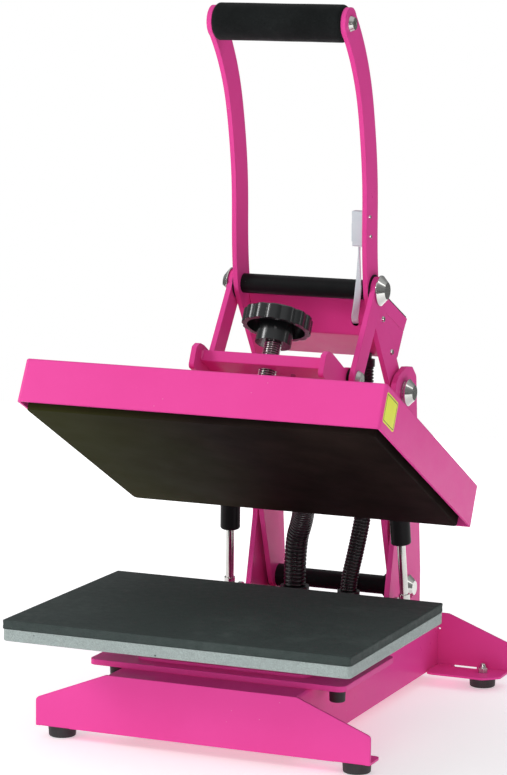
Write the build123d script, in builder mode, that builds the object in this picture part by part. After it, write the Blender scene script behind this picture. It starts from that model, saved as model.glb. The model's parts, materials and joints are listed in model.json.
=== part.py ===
from build123d import *
import os
from math import sin, cos, radians, degrees, atan2, hypot, sqrt, pi

# Tabletop clamshell heat press: a fixed lower platen with a silicone pad, and a
# heated upper platen that swings down on a toggle linkage worked by a long
# overhead handle. +Z is up, +X is to the operator's right, -Y is the front.
# The origin lies on the bench under the middle of the footprint.

os.makedirs("parts", exist_ok=True)

# ---------------------------------------------------------------- dimensions
DEPTH_DATUM = 199.0          # middle of the footprint behind the front datum


def Y(v):
    """Turn a depth behind the front datum into the model's Y."""
    return v - DEPTH_DATUM


PLATEN_W = 381.0             # lower platen, nominal 15 in
PLATEN_D = 275.0             # lower platen, nominal 11 in
PLATEN_FRONT = -54.1
PLATE_Z0, PLATE_Z1 = 117.5, 130.1
PAD_T = 9.5

PANEL_Y = 15.6               # front face of the front panel
SHEET = 2.5                  # base sheet thickness
FLOOR_GAP = 13.0             # height of the base above the bench
CHANNEL_HW = 106.5           # half width of the base channel
CHANNEL_TOP = 75.0
REAR_Y = 452.0               # rear face of the rear panel

# pivots, (depth, height)
P1 = (377.0, 337.0)          # handle on the uprights
P2 = (292.55, 458.6)         # link on the handle
P3 = (230.0, 370.0)          # link on the carrier
P4 = (400.0, 112.0)          # carrier on the uprights
SPRING_LOW = (338.0, 104.0)  # gas spring on the base
SPRING_TOP = (317.0, 300.0)  # gas spring on the carrier

SP_X0, SP_X1 = 105.5, 97.0  # side offset of the gas springs, bottom and top
OPEN_DEG = 27.1              # tilt of the upper platen when open
COVER_W, COVER_D, COVER_H = 397.1, 324.9, 47.2
COVER_FRONT, COVER_Z = -6.6, 358.8

ARM_IN, ARM_OUT = 73.0, 78.5       # handle arm plates
OUT_IN, OUT_OUT = 80.2, 86.2       # uprights and links
CAR_IN, CAR_OUT = 70.5, 76.5       # carrier plates
SHAFT_R = 8.0
RUN = 0.05                   # radial running clearance

C, S = cos(radians(OPEN_DEG)), sin(radians(OPEN_DEG))
# frame of the open upper platen: local x, depth along the platen u, normal n
HEAT = Plane(origin=(0, Y(COVER_FRONT), COVER_Z), x_dir=(1, 0, 0), z_dir=(0, S, C))
HEAT_SIDE = Plane(origin=(0, Y(COVER_FRONT), COVER_Z), x_dir=(0, C, -S), z_dir=(1, 0, 0))


def un(p):
    """Depth and height to the upper platen's own (u, n)."""
    dy, dz = p[0] - COVER_FRONT, p[1] - COVER_Z
    return (dy * C - dz * S, dy * S + dz * C)


def heat_pt(x, u, n):
    return (x, Y(COVER_FRONT) + u * C + n * S, COVER_Z - u * S + n * C)


def yz(p):
    return (Y(p[0]), p[1])


def at_y(depth):
    """Plane facing the front, local x = X and local y = Z, at a depth."""
    return Plane.XZ.offset(-Y(depth))


# ---------------------------------------------------------------- base
with BuildPart() as base_channel:
    with BuildSketch(at_y(PANEL_Y + SHEET)):
        with BuildLine():
            FilletPolyline((-CHANNEL_HW, FLOOR_GAP), (-CHANNEL_HW, CHANNEL_TOP),
                           (CHANNEL_HW, CHANNEL_TOP), (CHANNEL_HW, FLOOR_GAP),
                           (CHANNEL_HW - SHEET, FLOOR_GAP),
                           (CHANNEL_HW - SHEET, CHANNEL_TOP - SHEET),
                           (-CHANNEL_HW + SHEET, CHANNEL_TOP - SHEET),
                           (-CHANNEL_HW + SHEET, FLOOR_GAP),
                           radius=[0.4, 3.5, 3.5, 0.4, 0.4, 1.0, 1.0, 0.4], close=True)
        make_face()
    extrude(amount=-(REAR_Y - SHEET - PANEL_Y - SHEET))
    # cable holes for the two conduit glands
    with BuildSketch(Plane.XY.offset(CHANNEL_TOP)):
        with Locations((-31, Y(350)), (34, Y(350))):
            Circle(8.05)
        # bolt holes for the platen pedestal
        with Locations((-60, Y(102)), (60, Y(102)), (-60, Y(162)), (60, Y(162))):
            Circle(4.1)
    extrude(amount=-SHEET * 2, mode=Mode.SUBTRACT)
base_channel.part.label = "base_channel"

FOOT_FRONT = (165.6, 35.4)
FOOT_REAR = (167.0, 431.3)

with BuildPart() as front_bracket:
    with BuildSketch(at_y(PANEL_Y)):
        with BuildLine():
            FilletPolyline((-186.9, FLOOR_GAP), (-186.9, 43.0), (-CHANNEL_HW, 74.9),
                           (CHANNEL_HW, 74.9), (186.9, 43.0), (186.9, FLOOR_GAP),
                           radius=[1.0, 5, 9, 9, 5, 1.0], close=True)
        make_face()
    extrude(amount=-SHEET)
    # foot tabs folded back along the bottom edge
    with BuildSketch(Plane.XY.offset(FLOOR_GAP)):
        for s in (-1, 1):
            with BuildLine():
                FilletPolyline((s * 107.5, Y(PANEL_Y + 1)), (s * 107.5, Y(45.8)),
                               (s * 186.9, Y(45.8)), (s * 186.9, Y(PANEL_Y + 1)),
                               radius=[0, 3, 6, 0], close=True)
            make_face()
    extrude(amount=SHEET)
    # bend reliefs over each foot tab
    with BuildSketch(at_y(PANEL_Y - 1)):
        with Locations((-165, FLOOR_GAP), (165, FLOOR_GAP)):
            Rectangle(34, 1.6)
    extrude(amount=-1.9, mode=Mode.SUBTRACT)
    with BuildSketch(Plane.XY.offset(FLOOR_GAP - 1)):
        with Locations((-FOOT_FRONT[0], Y(FOOT_FRONT[1])), (FOOT_FRONT[0], Y(FOOT_FRONT[1]))):
            Circle(3.2)
    extrude(amount=6, mode=Mode.SUBTRACT)
front_bracket.part.label = "front_bracket"

with BuildPart() as rear_bracket:
    with BuildSketch(at_y(REAR_Y)):
        with BuildLine():
            FilletPolyline((-192.0, FLOOR_GAP), (-192.0, 47.0), (-119.0, 74.9),
                           (119.0, 74.9), (192.0, 47.0), (192.0, FLOOR_GAP),
                           radius=[1.0, 4, 10, 10, 4, 1.0], close=True)
        make_face()
    extrude(amount=SHEET)
    with BuildSketch(Plane.XY.offset(FLOOR_GAP)):
        for s in (-1, 1):
            with BuildLine():
                FilletPolyline((s * 107.5, Y(REAR_Y - 1)), (s * 107.5, Y(404)),
                               (s * 176, Y(404)), (s * 192, Y(418)), (s * 192, Y(REAR_Y - 1)),
                               radius=[0, 8, 6, 6, 0], close=True)
            make_face()
    extrude(amount=SHEET)
    with BuildSketch(Plane.XY.offset(FLOOR_GAP - 1)):
        with Locations((-FOOT_REAR[0], Y(FOOT_REAR[1])), (FOOT_REAR[0], Y(FOOT_REAR[1]))):
            Circle(3.2)
        # bend relief slots
        with Locations((-142, Y(445.5)), (142, Y(445.5))):
            SlotOverall(34, 4)
    extrude(amount=6, mode=Mode.SUBTRACT)
    # narrow slots above the flanges and two small tooling holes
    with BuildSketch(at_y(REAR_Y - 2)):
        with Locations((-140.5, 14.6), (140.5, 14.6)):
            SlotOverall(28, 2.6)
        with Locations((-108.3, 56.5), (108.3, 56.5)):
            Circle(1.3)
    extrude(amount=SHEET + 4, both=True, mode=Mode.SUBTRACT)
rear_bracket.part.label = "rear_bracket"

FEET = [(sx * fx, Y(fy)) for sx in (-1, 1) for fx, fy in (FOOT_FRONT, FOOT_REAR)]

with BuildPart() as rubber_feet:
    with BuildSketch(Plane.XY):
        with Locations(*FEET):
            Circle(14.2)
    extrude(amount=FLOOR_GAP, taper=-4)
    fillet(rubber_feet.edges().filter_by(GeomType.CIRCLE).group_by(Axis.Z)[0], 1.6)
    with BuildSketch(Plane.XY):
        with Locations(*FEET):
            Circle(7.6)
    extrude(amount=5.5, mode=Mode.SUBTRACT)
    with BuildSketch(Plane.XY):
        with Locations(*FEET):
            Circle(3.1)
    extrude(amount=FLOOR_GAP + 1, mode=Mode.SUBTRACT)
rubber_feet.part.label = "rubber_feet"

with BuildPart() as base_fasteners:
    # foot screws
    with BuildSketch(Plane.XY.offset(2.5)):
        with Locations(*FEET):
            Circle(6.4)
    extrude(amount=3.0)
    fillet(base_fasteners.edges().filter_by(GeomType.CIRCLE).group_by(Axis.Z)[0], 1.0)
    with BuildSketch(Plane.XY.offset(5.5)):
        with Locations(*FEET):
            Circle(3.0)
    extrude(amount=16.0)
    with BuildSketch(Plane.XY.offset(2.5)):
        with Locations(*FEET):
            Rectangle(8, 1.2)
    extrude(amount=1.2, mode=Mode.SUBTRACT)
    # acorn nuts on the foot screws, above the tabs
    with BuildSketch(Plane.XY.offset(FLOOR_GAP + SHEET)):
        with Locations(*FEET):
            RegularPolygon(5.4, 6)
    extrude(amount=5.2)
    with BuildSketch(Plane.XY.offset(FLOOR_GAP + SHEET + 5.2)):
        with Locations(*FEET):
            Circle(4.3)
    extrude(amount=5.2, taper=16)
    fillet(base_fasteners.edges().filter_by(GeomType.CIRCLE).group_by(Axis.Z)[-1], 1.6)
    # bolts through the channel, the sub-plate and the pedestal
    with BuildSketch(Plane.XY.offset(CHANNEL_TOP - SHEET - 5.0)):
        with Locations((-60, Y(102)), (60, Y(102)), (-60, Y(162)), (60, Y(162))):
            RegularPolygon(7.4, 6)
    extrude(amount=5.0)
    with BuildSketch(Plane.XY.offset(CHANNEL_TOP - SHEET)):
        with Locations((-60, Y(102)), (60, Y(102)), (-60, Y(162)), (60, Y(162))):
            Circle(4.0)
    extrude(amount=SHEET + 9.0)
    with BuildSketch(Plane.XY.offset(CHANNEL_TOP + 9.0)):
        with Locations((-60, Y(102)), (60, Y(102)), (-60, Y(162)), (60, Y(162))):
            RegularPolygon(7.4, 6)
    extrude(amount=6.0)
base_fasteners.part.label = "base_fasteners"

# ------------------------------------------------- lower platen and its support
SUB_Z0, SUB_T = CHANNEL_TOP, 6.0

with BuildPart() as sub_plate:
    with BuildSketch(Plane.XY.offset(SUB_Z0)):
        with Locations((0, Y(128))):
            RectangleRounded(288, 152, 9)
    extrude(amount=SUB_T)
    fillet(sub_plate.edges().group_by(Axis.Z)[-1], 0.8)
    with BuildSketch(Plane.XY.offset(SUB_Z0 - 1)):
        with Locations((-60, Y(102)), (60, Y(102)), (-60, Y(162)), (60, Y(162))):
            Circle(4.1)
    extrude(amount=SUB_T + 2, mode=Mode.SUBTRACT)
sub_plate.part.label = "sub_plate"

with BuildPart() as plate_bumpers:
    with BuildSketch(Plane.XY.offset(SUB_Z0)):
        with Locations((-124.6, Y(84.2)), (124.6, Y(84.2))):
            Circle(8.8)
    extrude(amount=-18.0, taper=2)
    fillet(plate_bumpers.edges().filter_by(GeomType.CIRCLE).group_by(Axis.Z)[0], 1.5)
plate_bumpers.part.label = "plate_bumpers"

with BuildPart() as platen_pedestal:
    # pressed steel riser between the sub-plate and the cast platen
    with BuildSketch(Plane.XY.offset(SUB_Z0 + SUB_T)):
        with Locations((0, Y(132))):
            RectangleRounded(196, 124, 10)
    extrude(amount=3.0)
    with BuildSketch(Plane.XY.offset(SUB_Z0 + SUB_T + 3.0)):
        with Locations((0, Y(132))):
            RectangleRounded(168, 100, 8)
            RectangleRounded(156, 88, 4, mode=Mode.SUBTRACT)
    extrude(amount=PLATE_Z0 - SUB_Z0 - SUB_T - 3.0)
    with BuildSketch(Plane.XY.offset(SUB_Z0 + SUB_T)):
        with Locations((-60, Y(102)), (60, Y(102)), (-60, Y(162)), (60, Y(162))):
            Circle(4.1)
    extrude(amount=4, mode=Mode.SUBTRACT)
platen_pedestal.part.label = "platen_pedestal"

with BuildPart() as lower_platen:
    with BuildSketch(Plane.XY.offset(PLATE_Z0)):
        with Locations((0, Y(PLATEN_FRONT + PLATEN_D / 2))):
            RectangleRounded(PLATEN_W, PLATEN_D, 6)
    extrude(amount=PLATE_Z1 - PLATE_Z0)
    fillet(lower_platen.edges().group_by(Axis.Z)[0], 1.6)
    # shallow recess left by the casting on the underside, around the riser seat
    with BuildSketch(Plane.XY.offset(PLATE_Z0)):
        with Locations((0, Y(PLATEN_FRONT + PLATEN_D / 2))):
            RectangleRounded(PLATEN_W - 28, PLATEN_D - 28, 5)
        with Locations((0, Y(132))):
            RectangleRounded(172, 104, 8, mode=Mode.SUBTRACT)
        with Locations((-130, Y(83.4)), (130, Y(83.4))):
            Rectangle(8, PLATEN_D, mode=Mode.SUBTRACT)
        with Locations((0, Y(83.4))):
            Rectangle(PLATEN_W, 8, mode=Mode.SUBTRACT)
    extrude(amount=4.0, mode=Mode.SUBTRACT)
lower_platen.part.label = "lower_platen"

with BuildPart() as silicone_pad:
    with BuildSketch(Plane.XY.offset(PLATE_Z1)):
        with Locations((0, Y(PLATEN_FRONT + PLATEN_D / 2))):
            RectangleRounded(PLATEN_W, PLATEN_D, 2.2)
    extrude(amount=PAD_T)
    fillet(silicone_pad.edges().group_by(Axis.Z)[-1], 0.7)
silicone_pad.part.label = "silicone_pad"

# ------------------------------------------------------------- uprights
UPRIGHT = [(326, 75), (336, 100), (357, 190), (351, 290), (347, 342), (349, 350),
           (358, 358), (381, 365.2), (401, 363), (415, 351), (420, 305),
           (434.6, 183), (441.6, 124), (442, 75)]


with BuildPart() as uprights:
    for side in (-1, 1):
        with BuildSketch(Plane.YZ.offset(side * OUT_IN)):
            with BuildLine():
                FilletPolyline(*[yz(p) for p in UPRIGHT],
                               radius=[0, 14, 30, 60, 6, 3, 8, 8, 8, 8, 30, 60, 30, 0], close=True)
            make_face()
            with Locations(yz(P1), yz(P4)):
                Circle(SHAFT_R + 0.02, mode=Mode.SUBTRACT)
        extrude(amount=side * (OUT_OUT - OUT_IN))
uprights.part.label = "uprights"


def cap_profile(x0, base_r, hole_r, height=8.0, hole_depth=5.6):
    """Half section of a conical cap nut, on the XY plane about X."""
    return [(x0, hole_r), (x0, base_r), (x0 + 1.5, base_r), (x0 + height, base_r * 0.56),
            (x0 + height, 0.0), (x0 + hole_depth, 0.0), (x0 + hole_depth, hole_r)]


CAP_SEATS = [(P4, OUT_OUT + 0.3, 14.2), (P1, OUT_OUT + 3.9, 15.0)]
with BuildPart() as pivot_caps:
    for pivot, x0, base_r in CAP_SEATS:
        for s in (-1, 1):
            with BuildSketch(Plane(origin=(0, Y(pivot[0]), pivot[1]), x_dir=(s, 0, 0), z_dir=(0, -s, 0))):
                with BuildLine():
                    Polyline(*cap_profile(x0, base_r, 5.02), close=True)
                make_face()
            revolve(axis=Axis((0, Y(pivot[0]), pivot[1]), (1, 0, 0)))
pivot_caps.part.label = "pivot_caps"

# carrier pivot: one through shaft carried by the uprights
with BuildPart() as carrier_shaft:
    with BuildSketch(Plane.YZ.offset(-OUT_OUT - 0.3)):
        with Locations(yz(P4)):
            Circle(SHAFT_R)
    extrude(amount=2 * (OUT_OUT + 0.3))
    with BuildSketch(Plane.YZ.offset(-OUT_OUT - 5.5)):
        with Locations(yz(P4)):
            Circle(5.0)
    extrude(amount=2 * (OUT_OUT + 5.5))
carrier_shaft.part.label = "carrier_shaft"

# handle pivots: a shoulder bolt on each side
with BuildPart() as handle_pivot_bolts:
    for s in (-1, 1):
        with BuildSketch(Plane.YZ.offset(s * (ARM_IN - 1.0))):
            with Locations(yz(P1)):
                Circle(SHAFT_R)
        extrude(amount=s * (OUT_OUT + 3.9 - ARM_IN + 1.0))
        with BuildSketch(Plane.YZ.offset(s * (OUT_OUT + 3.9))):
            with Locations(yz(P1)):
                Circle(5.0)
        extrude(amount=s * 5.2)
        # thin inner head
        with BuildSketch(Plane.YZ.offset(s * (ARM_IN - 0.4))):
            with Locations(yz(P1)):
                Circle(11.0)
        extrude(amount=-s * 3.4)
    # two plain washers under each cap
    for s in (-1, 1):
        for k in range(2):
            with BuildSketch(Plane.YZ.offset(s * (OUT_OUT + 0.1 + k * 1.9))):
                with Locations(yz(P1)):
                    Circle(13.2 - 0.8 * k)
                    Circle(SHAFT_R + 0.02, mode=Mode.SUBTRACT)
            extrude(amount=s * 1.8)
handle_pivot_bolts.part.label = "handle_pivot_bolts"

# ------------------------------------------------------------- carrier
un3, un4 = un(P3), un(P4)
def carrier_part(side):
    with BuildPart() as plate:
        with BuildSketch(HEAT_SIDE.offset(side * CAR_IN)):
            with BuildLine():
                FilletPolyline((129.5, 93), (128.5, 116), (135, 122.5), (146, 124), (186, 122.5),
                               (208, 131.5), (228, 127), (318, 127), (350, 114), (429, 34),
                               (un4[0] + 17, un4[1] + 10), (un4[0] + 12, un4[1] - 15),
                               (un4[0] - 12, un4[1] - 14.5), (396, 14), (330, 80),
                               (300, 93), (200, 95),
                               radius=[5, 3.5, 4, 4, 8, 12, 14, 20, 20, 20, 13, 12, 12, 30, 24, 30, 20], close=True)
            make_face()
            with Locations(un3):
                Circle(6.02, mode=Mode.SUBTRACT)
            with Locations(un4):
                Circle(SHAFT_R + RUN, mode=Mode.SUBTRACT)
            with Locations(un(SPRING_TOP)):
                Circle(4.02, mode=Mode.SUBTRACT)
        extrude(amount=side * (CAR_OUT - CAR_IN))
    return plate.part


carrier_arm_left = carrier_part(-1)
carrier_arm_left.label = "carrier_arm_left"
carrier_arm_right = carrier_part(1)
carrier_arm_right.label = "carrier_arm_right"

BAR_U0, BAR_U1, BAR_N0, BAR_N1 = 144.0, 182.0, 105.8, 118.3
SPIN_U = 163.0
PIN_X, PIN_U, PIN_R = 27.0, 170.0, 2.6

with BuildPart() as cross_bar:
    with BuildSketch(HEAT.offset(BAR_N0)):
        with Locations((0, (BAR_U0 + BAR_U1) / 2)):
            Rectangle(2 * CAR_IN, BAR_U1 - BAR_U0)
        with Locations((0, SPIN_U)):
            Circle(9.6, mode=Mode.SUBTRACT)
        with Locations((PIN_X, PIN_U)):
            Circle(PIN_R + RUN, mode=Mode.SUBTRACT)
    extrude(amount=BAR_N1 - BAR_N0)
    chamfer(cross_bar.edges().filter_by(Axis.X), 0.6)
cross_bar.part.label = "cross_bar"

with BuildPart() as carrier_tube:
    with BuildSketch(Plane.YZ.offset(-CAR_IN)):
        with Locations(yz(P4)):
            Circle(10.6)
            Circle(SHAFT_R + RUN, mode=Mode.SUBTRACT)
    extrude(amount=2 * CAR_IN)
    # thicker bushes at the tube's ends
    for s in (-1, 1):
        with BuildSketch(Plane.YZ.offset(s * CAR_IN)):
            with Locations(yz(P4)):
                Circle(13.0)
                Circle(SHAFT_R + RUN, mode=Mode.SUBTRACT)
        extrude(amount=-s * 11.0)
    for s in (-1, 1):
        # spacer between the carrier plate and the upright, on the lower shaft
        with BuildSketch(Plane.YZ.offset(s * CAR_OUT)):
            with Locations(yz(P4)):
                Circle(13.0)
                Circle(SHAFT_R + RUN, mode=Mode.SUBTRACT)
        extrude(amount=s * (OUT_IN - 0.3 - CAR_OUT))
        # spacer between the carrier plate and the link
        with BuildSketch(Plane.YZ.offset(s * CAR_OUT)):
            with Locations(yz(P3)):
                Circle(11.0)
                Circle(6.02, mode=Mode.SUBTRACT)
        extrude(amount=s * (OUT_IN - 0.3 - CAR_OUT))
carrier_tube.part.label = "carrier_tube"

with BuildPart() as carrier_bolts:
    for s in (-1, 1):
        with BuildSketch(Plane.YZ.offset(s * (CAR_IN - 4.0))):
            with Locations(yz(P3)):
                RegularPolygon(9.5, 6)
        extrude(amount=s * 4.0)
        with BuildSketch(Plane.YZ.offset(s * CAR_IN)):
            with Locations(yz(P3)):
                Circle(6.0)
        extrude(amount=s * (OUT_OUT + 0.3 - CAR_IN))
        with BuildSketch(Plane.YZ.offset(s * (OUT_OUT + 0.3))):
            with Locations(yz(P3)):
                Circle(9.4)
        extrude(amount=s * 4.2, taper=28)
    # studs that carry the gas springs' upper eyes
    for s in (-1, 1):
        with BuildSketch(Plane.YZ.offset(s * CAR_IN)):
            with Locations(yz(SPRING_TOP)):
                Circle(3.6)
        extrude(amount=s * (SP_X1 + 10.4 - CAR_IN))
        with BuildSketch(Plane.YZ.offset(s * CAR_OUT)):
            with Locations(yz(SPRING_TOP)):
                Circle(7.5)
        extrude(amount=s * 7.0)
        with BuildSketch(Plane.YZ.offset(s * (SP_X1 + 7.6))):
            with Locations(yz(SPRING_TOP)):
                Circle(7.5)
        extrude(amount=s * 3.0)
carrier_bolts.part.label = "carrier_bolts"

# ------------------------------------------------------------- links
LINK_ANG = degrees(atan2(P2[1] - P3[1], P2[0] - P3[0]))
LINK_LEN = hypot(P2[1] - P3[1], P2[0] - P3[0])
with BuildPart() as links:
    for side in (-1, 1):
        with BuildSketch(Plane.YZ.offset(side * OUT_IN)):
            with Locations(Location((Y((P2[0] + P3[0]) / 2), (P2[1] + P3[1]) / 2), LINK_ANG)):
                SlotCenterToCenter(LINK_LEN, 26)
            with Locations(yz(P2)):
                Circle(15.0)
                Circle(6.05, mode=Mode.SUBTRACT)
            with Locations(yz(P3)):
                Circle(6.0 + RUN, mode=Mode.SUBTRACT)
        extrude(amount=side * (OUT_OUT - OUT_IN))
links.part.label = "links"

# cone-headed pins at the links' upper ends
with BuildPart() as link_caps:
    for s in (-1, 1):
        with BuildSketch(Plane.YZ.offset(s * OUT_IN)):
            with Locations(yz(P2)):
                Circle(6.03)
        extrude(amount=s * (OUT_OUT + 0.4 - OUT_IN))
        with BuildSketch(Plane(origin=(0, Y(P2[0]), P2[1]), x_dir=(s, 0, 0), z_dir=(0, -s, 0))):
            with BuildLine():
                Polyline((OUT_OUT + 0.3, 0), (OUT_OUT + 0.3, 16.5), (OUT_OUT + 1.8, 16.5),
                         (OUT_OUT + 8.6, 9.2), (OUT_OUT + 8.6, 0), close=True)
            make_face()
        revolve(axis=Axis((0, Y(P2[0]), P2[1]), (1, 0, 0)))
link_caps.part.label = "link_caps"

# ------------------------------------------------------------- handle
GRIP = (212.0, 745.0)
ARM_HALF = 16.5
ARM_LINE = [GRIP, (242, 708.7), (261.4, 671), (271.5, 638), (279.2, 603), (284.4, 561),
            (286.0, 514.5), (288.0, 488), P2]


def strip_edges(points, half):
    """Front and rear edges of a bar that follows a centre line."""
    front, rear = [], []
    for i, p in enumerate(points):
        a = points[max(i - 1, 0)]
        b = points[min(i + 1, len(points) - 1)]
        dy, dz = b[0] - a[0], b[1] - a[1]
        n = hypot(dy, dz)
        ny, nz = -dz / n, dy / n
        rear.append((p[0] + ny * half, p[1] + nz * half))
        front.append((p[0] - ny * half, p[1] - nz * half))
    return front, rear


def handle_arm_part(side):
    front, rear = strip_edges(ARM_LINE, ARM_HALF)
    ang = degrees(atan2(P2[1] - P1[1], P2[0] - P1[0]))
    lng = hypot(P2[1] - P1[1], P2[0] - P1[0])
    with BuildPart() as arm:
        with BuildSketch(Plane.YZ.offset(side * ARM_IN)):
            with BuildLine():
                e1 = Spline(*[yz(p) for p in front])
                e2 = Spline(*[yz(p) for p in rear])
                Line(e1 @ 0, e2 @ 0)
                Line(e1 @ 1, e2 @ 1)
            make_face()
            with Locations(yz(GRIP)):
                Circle(ARM_HALF + 0.6)
            with Locations(Location((Y((P2[0] + P1[0]) / 2), (P2[1] + P1[1]) / 2), ang)):
                SlotCenterToCenter(lng, 2 * ARM_HALF)
            with Locations(yz(GRIP)):
                Circle(5.05, mode=Mode.SUBTRACT)
            with Locations(yz(P2)):
                Circle(7.02, mode=Mode.SUBTRACT)
            with Locations(yz(P1)):
                Circle(SHAFT_R + RUN, mode=Mode.SUBTRACT)
        extrude(amount=side * (ARM_OUT - ARM_IN))
    return arm.part


handle_arm_left = handle_arm_part(-1)
handle_arm_left.label = "handle_arm_left"
handle_arm_right = handle_arm_part(1)
handle_arm_right.label = "handle_arm_right"

with BuildPart() as grip_core:
    with BuildSketch(Plane.YZ.offset(-ARM_IN)):
        with Locations(yz(GRIP)):
            Circle(12.5)
            Circle(5.02, mode=Mode.SUBTRACT)
    extrude(amount=2 * ARM_IN)
grip_core.part.label = "grip_core"

with BuildPart() as foam_grip:
    with BuildSketch(Plane.YZ.offset(-ARM_IN + 0.5)):
        with Locations(yz(GRIP)):
            Circle(20.0)
            Circle(12.52, mode=Mode.SUBTRACT)
    extrude(amount=2 * ARM_IN - 1.0)
    fillet(foam_grip.edges().filter_by(GeomType.CIRCLE).group_by(SortBy.RADIUS)[-1], 2.0)
foam_grip.part.label = "foam_grip"

with BuildPart() as handle_tube:
    with BuildSketch(Plane.YZ.offset(-ARM_IN)):
        with Locations(yz(P2)):
            Circle(10.8)
            Circle(7.02, mode=Mode.SUBTRACT)
    extrude(amount=2 * ARM_IN)
    # thrust washers between the arms and the links
    for s in (-1, 1):
        with BuildSketch(Plane.YZ.offset(s * ARM_OUT)):
            with Locations(yz(P2)):
                Circle(17.0)
                Circle(7.02, mode=Mode.SUBTRACT)
        extrude(amount=s * (OUT_IN - 0.35 - ARM_OUT))
handle_tube.part.label = "handle_tube"

with BuildPart() as handle_shaft:
    with BuildSketch(Plane.YZ.offset(-OUT_IN + 0.35)):
        with Locations(yz(P2)):
            Circle(7.0)
    extrude(amount=2 * (OUT_IN - 0.35))
handle_shaft.part.label = "handle_shaft"

# ------------------------------------------------------------- control box
BOX_HW = 72.6
BOX = [(306.5, 447.0), (322.0, 405.0), (388.0, 372.5), (407.0, 401.0), (418.0, 414.0), (329.0, 455.0)]
BOX_WALL = 1.6
panel_dir = (BOX[5][0] - BOX[4][0], BOX[5][1] - BOX[4][1])
panel_len = hypot(*panel_dir)
PU = (panel_dir[0] / panel_len, panel_dir[1] / panel_len)
PN = (-PU[1] * -1, -PU[0])   # outward normal of the sloping panel (depth, height)
PN = (PU[1], -PU[0])
PANEL = Plane(origin=(0, Y((BOX[4][0] + BOX[5][0]) / 2), (BOX[4][1] + BOX[5][1]) / 2),
              x_dir=(-1, 0, 0), z_dir=(0, PN[0], PN[1]))
rear_dir = (BOX[3][0] - BOX[2][0], BOX[3][1] - BOX[2][1])
rear_len = hypot(*rear_dir)
RN = (rear_dir[1] / rear_len, -rear_dir[0] / rear_len)
REARP = Plane(origin=(0, Y((BOX[2][0] + BOX[3][0]) / 2), (BOX[2][1] + BOX[3][1]) / 2),
              x_dir=(-1, 0, 0), z_dir=(0, RN[0], RN[1]))
under_dir = (BOX[2][0] - BOX[1][0], BOX[2][1] - BOX[1][1])
under_len = hypot(*under_dir)
UN_ = (under_dir[1] / under_len, -under_dir[0] / under_len)
GLAND_C = (376.0, BOX[1][1] + (376.0 - BOX[1][0]) * under_dir[1] / under_dir[0])

with BuildPart() as control_box:
    with BuildSketch(Plane.YZ.offset(-BOX_HW)):
        with BuildLine():
            FilletPolyline(*[yz(p) for p in BOX], radius=[3, 5, 4, 3, 0.5, 4], close=True)
        make_face()
    extrude(amount=2 * BOX_HW)
    with BuildSketch(Plane.YZ.offset(-BOX_HW + BOX_WALL)):
        with BuildLine():
            FilletPolyline(*[yz(p) for p in BOX], radius=[3, 5, 4, 3, 0.5, 4], close=True)
        make_face()
        offset(amount=-BOX_WALL)
    extrude(amount=2 * (BOX_HW - BOX_WALL), mode=Mode.SUBTRACT)
    # the sloping top is open and closed by the control panel
    with BuildSketch(PANEL.offset(-12)):
        Rectangle(2 * BOX_HW - 7.0, panel_len - 12.0)
    extrude(amount=20, mode=Mode.SUBTRACT)
    # seam of the lid's side flanges
    for s in (-1, 1):
        with BuildSketch(Plane.YZ.offset(s * (BOX_HW - 0.5))):
            with Locations(Location(((Y(BOX[3][0]) + Y(BOX[0][0])) / 2, (BOX[3][1] + BOX[0][1]) / 2),
                                    degrees(atan2(BOX[0][1] - BOX[3][1], BOX[0][0] - BOX[3][0])))):
                Rectangle(130, 0.8)
        extrude(amount=s * 2.0, mode=Mode.SUBTRACT)
    # rear openings: mains inlet and rocker switch
    with BuildSketch(REARP.offset(-4)):
        with Locations((34, 0)):
            Rectangle(27.4, 20.4)
        with Locations((-12, 0)):
            Rectangle(19.4, 13.2)
    extrude(amount=8, mode=Mode.SUBTRACT)
    # hole for the sensor lead in the front face
    with BuildSketch(at_y(290)):
        with Locations((49, 419.5)):
            Circle(4.2)
    extrude(amount=-40, mode=Mode.SUBTRACT)
    # gland hole in the underside
    with BuildSketch(Plane.XY.offset(GLAND_C[1] - 12)):
        with Locations((39.5, Y(GLAND_C[0]))):
            Circle(7.05)
    extrude(amount=24, mode=Mode.SUBTRACT)
control_box.part.label = "control_box"

with BuildPart() as control_panel:
    with BuildSketch(PANEL):
        RectangleRounded(2 * BOX_HW - 1.0, panel_len - 2.0, 2)
        with Locations((0, 12)):
            RectangleRounded(66.4, 30.4, 2, mode=Mode.SUBTRACT)
        with Locations((-30, -24), (0, -24), (30, -24)):
            Circle(5.6, mode=Mode.SUBTRACT)
    extrude(amount=1.6)
    # inner lip that locates the panel in the box opening
    with BuildSketch(PANEL):
        Rectangle(2 * BOX_HW - 7.4, panel_len - 12.4)
        Rectangle(2 * BOX_HW - 11.4, panel_len - 16.4, mode=Mode.SUBTRACT)
    extrude(amount=-5.0)
control_panel.part.label = "control_panel"

with BuildPart() as display_window:
    with BuildSketch(PANEL.offset(-0.6)):
        with Locations((0, 12)):
            RectangleRounded(66.0, 30.0, 2)
    extrude(amount=2.6)
    fillet(display_window.faces().sort_by(Axis((0, 0, 0), (0, PN[0], PN[1])))[-1].edges(), 0.5)
display_window.part.label = "display_window"

with BuildPart() as circuit_board:
    with BuildSketch(PANEL.offset(-10.5)):
        Rectangle(118, 66)
    extrude(amount=1.6)
    with BuildSketch(PANEL.offset(-8.9)):
        with Locations((0, 12)):
            Rectangle(58, 22)
    extrude(amount=7.4)
    with BuildSketch(PANEL.offset(-10.5)):
        with Locations((-36, 6)):
            Rectangle(26, 24)
    extrude(amount=-14)
circuit_board.part.label = "circuit_board"


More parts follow.
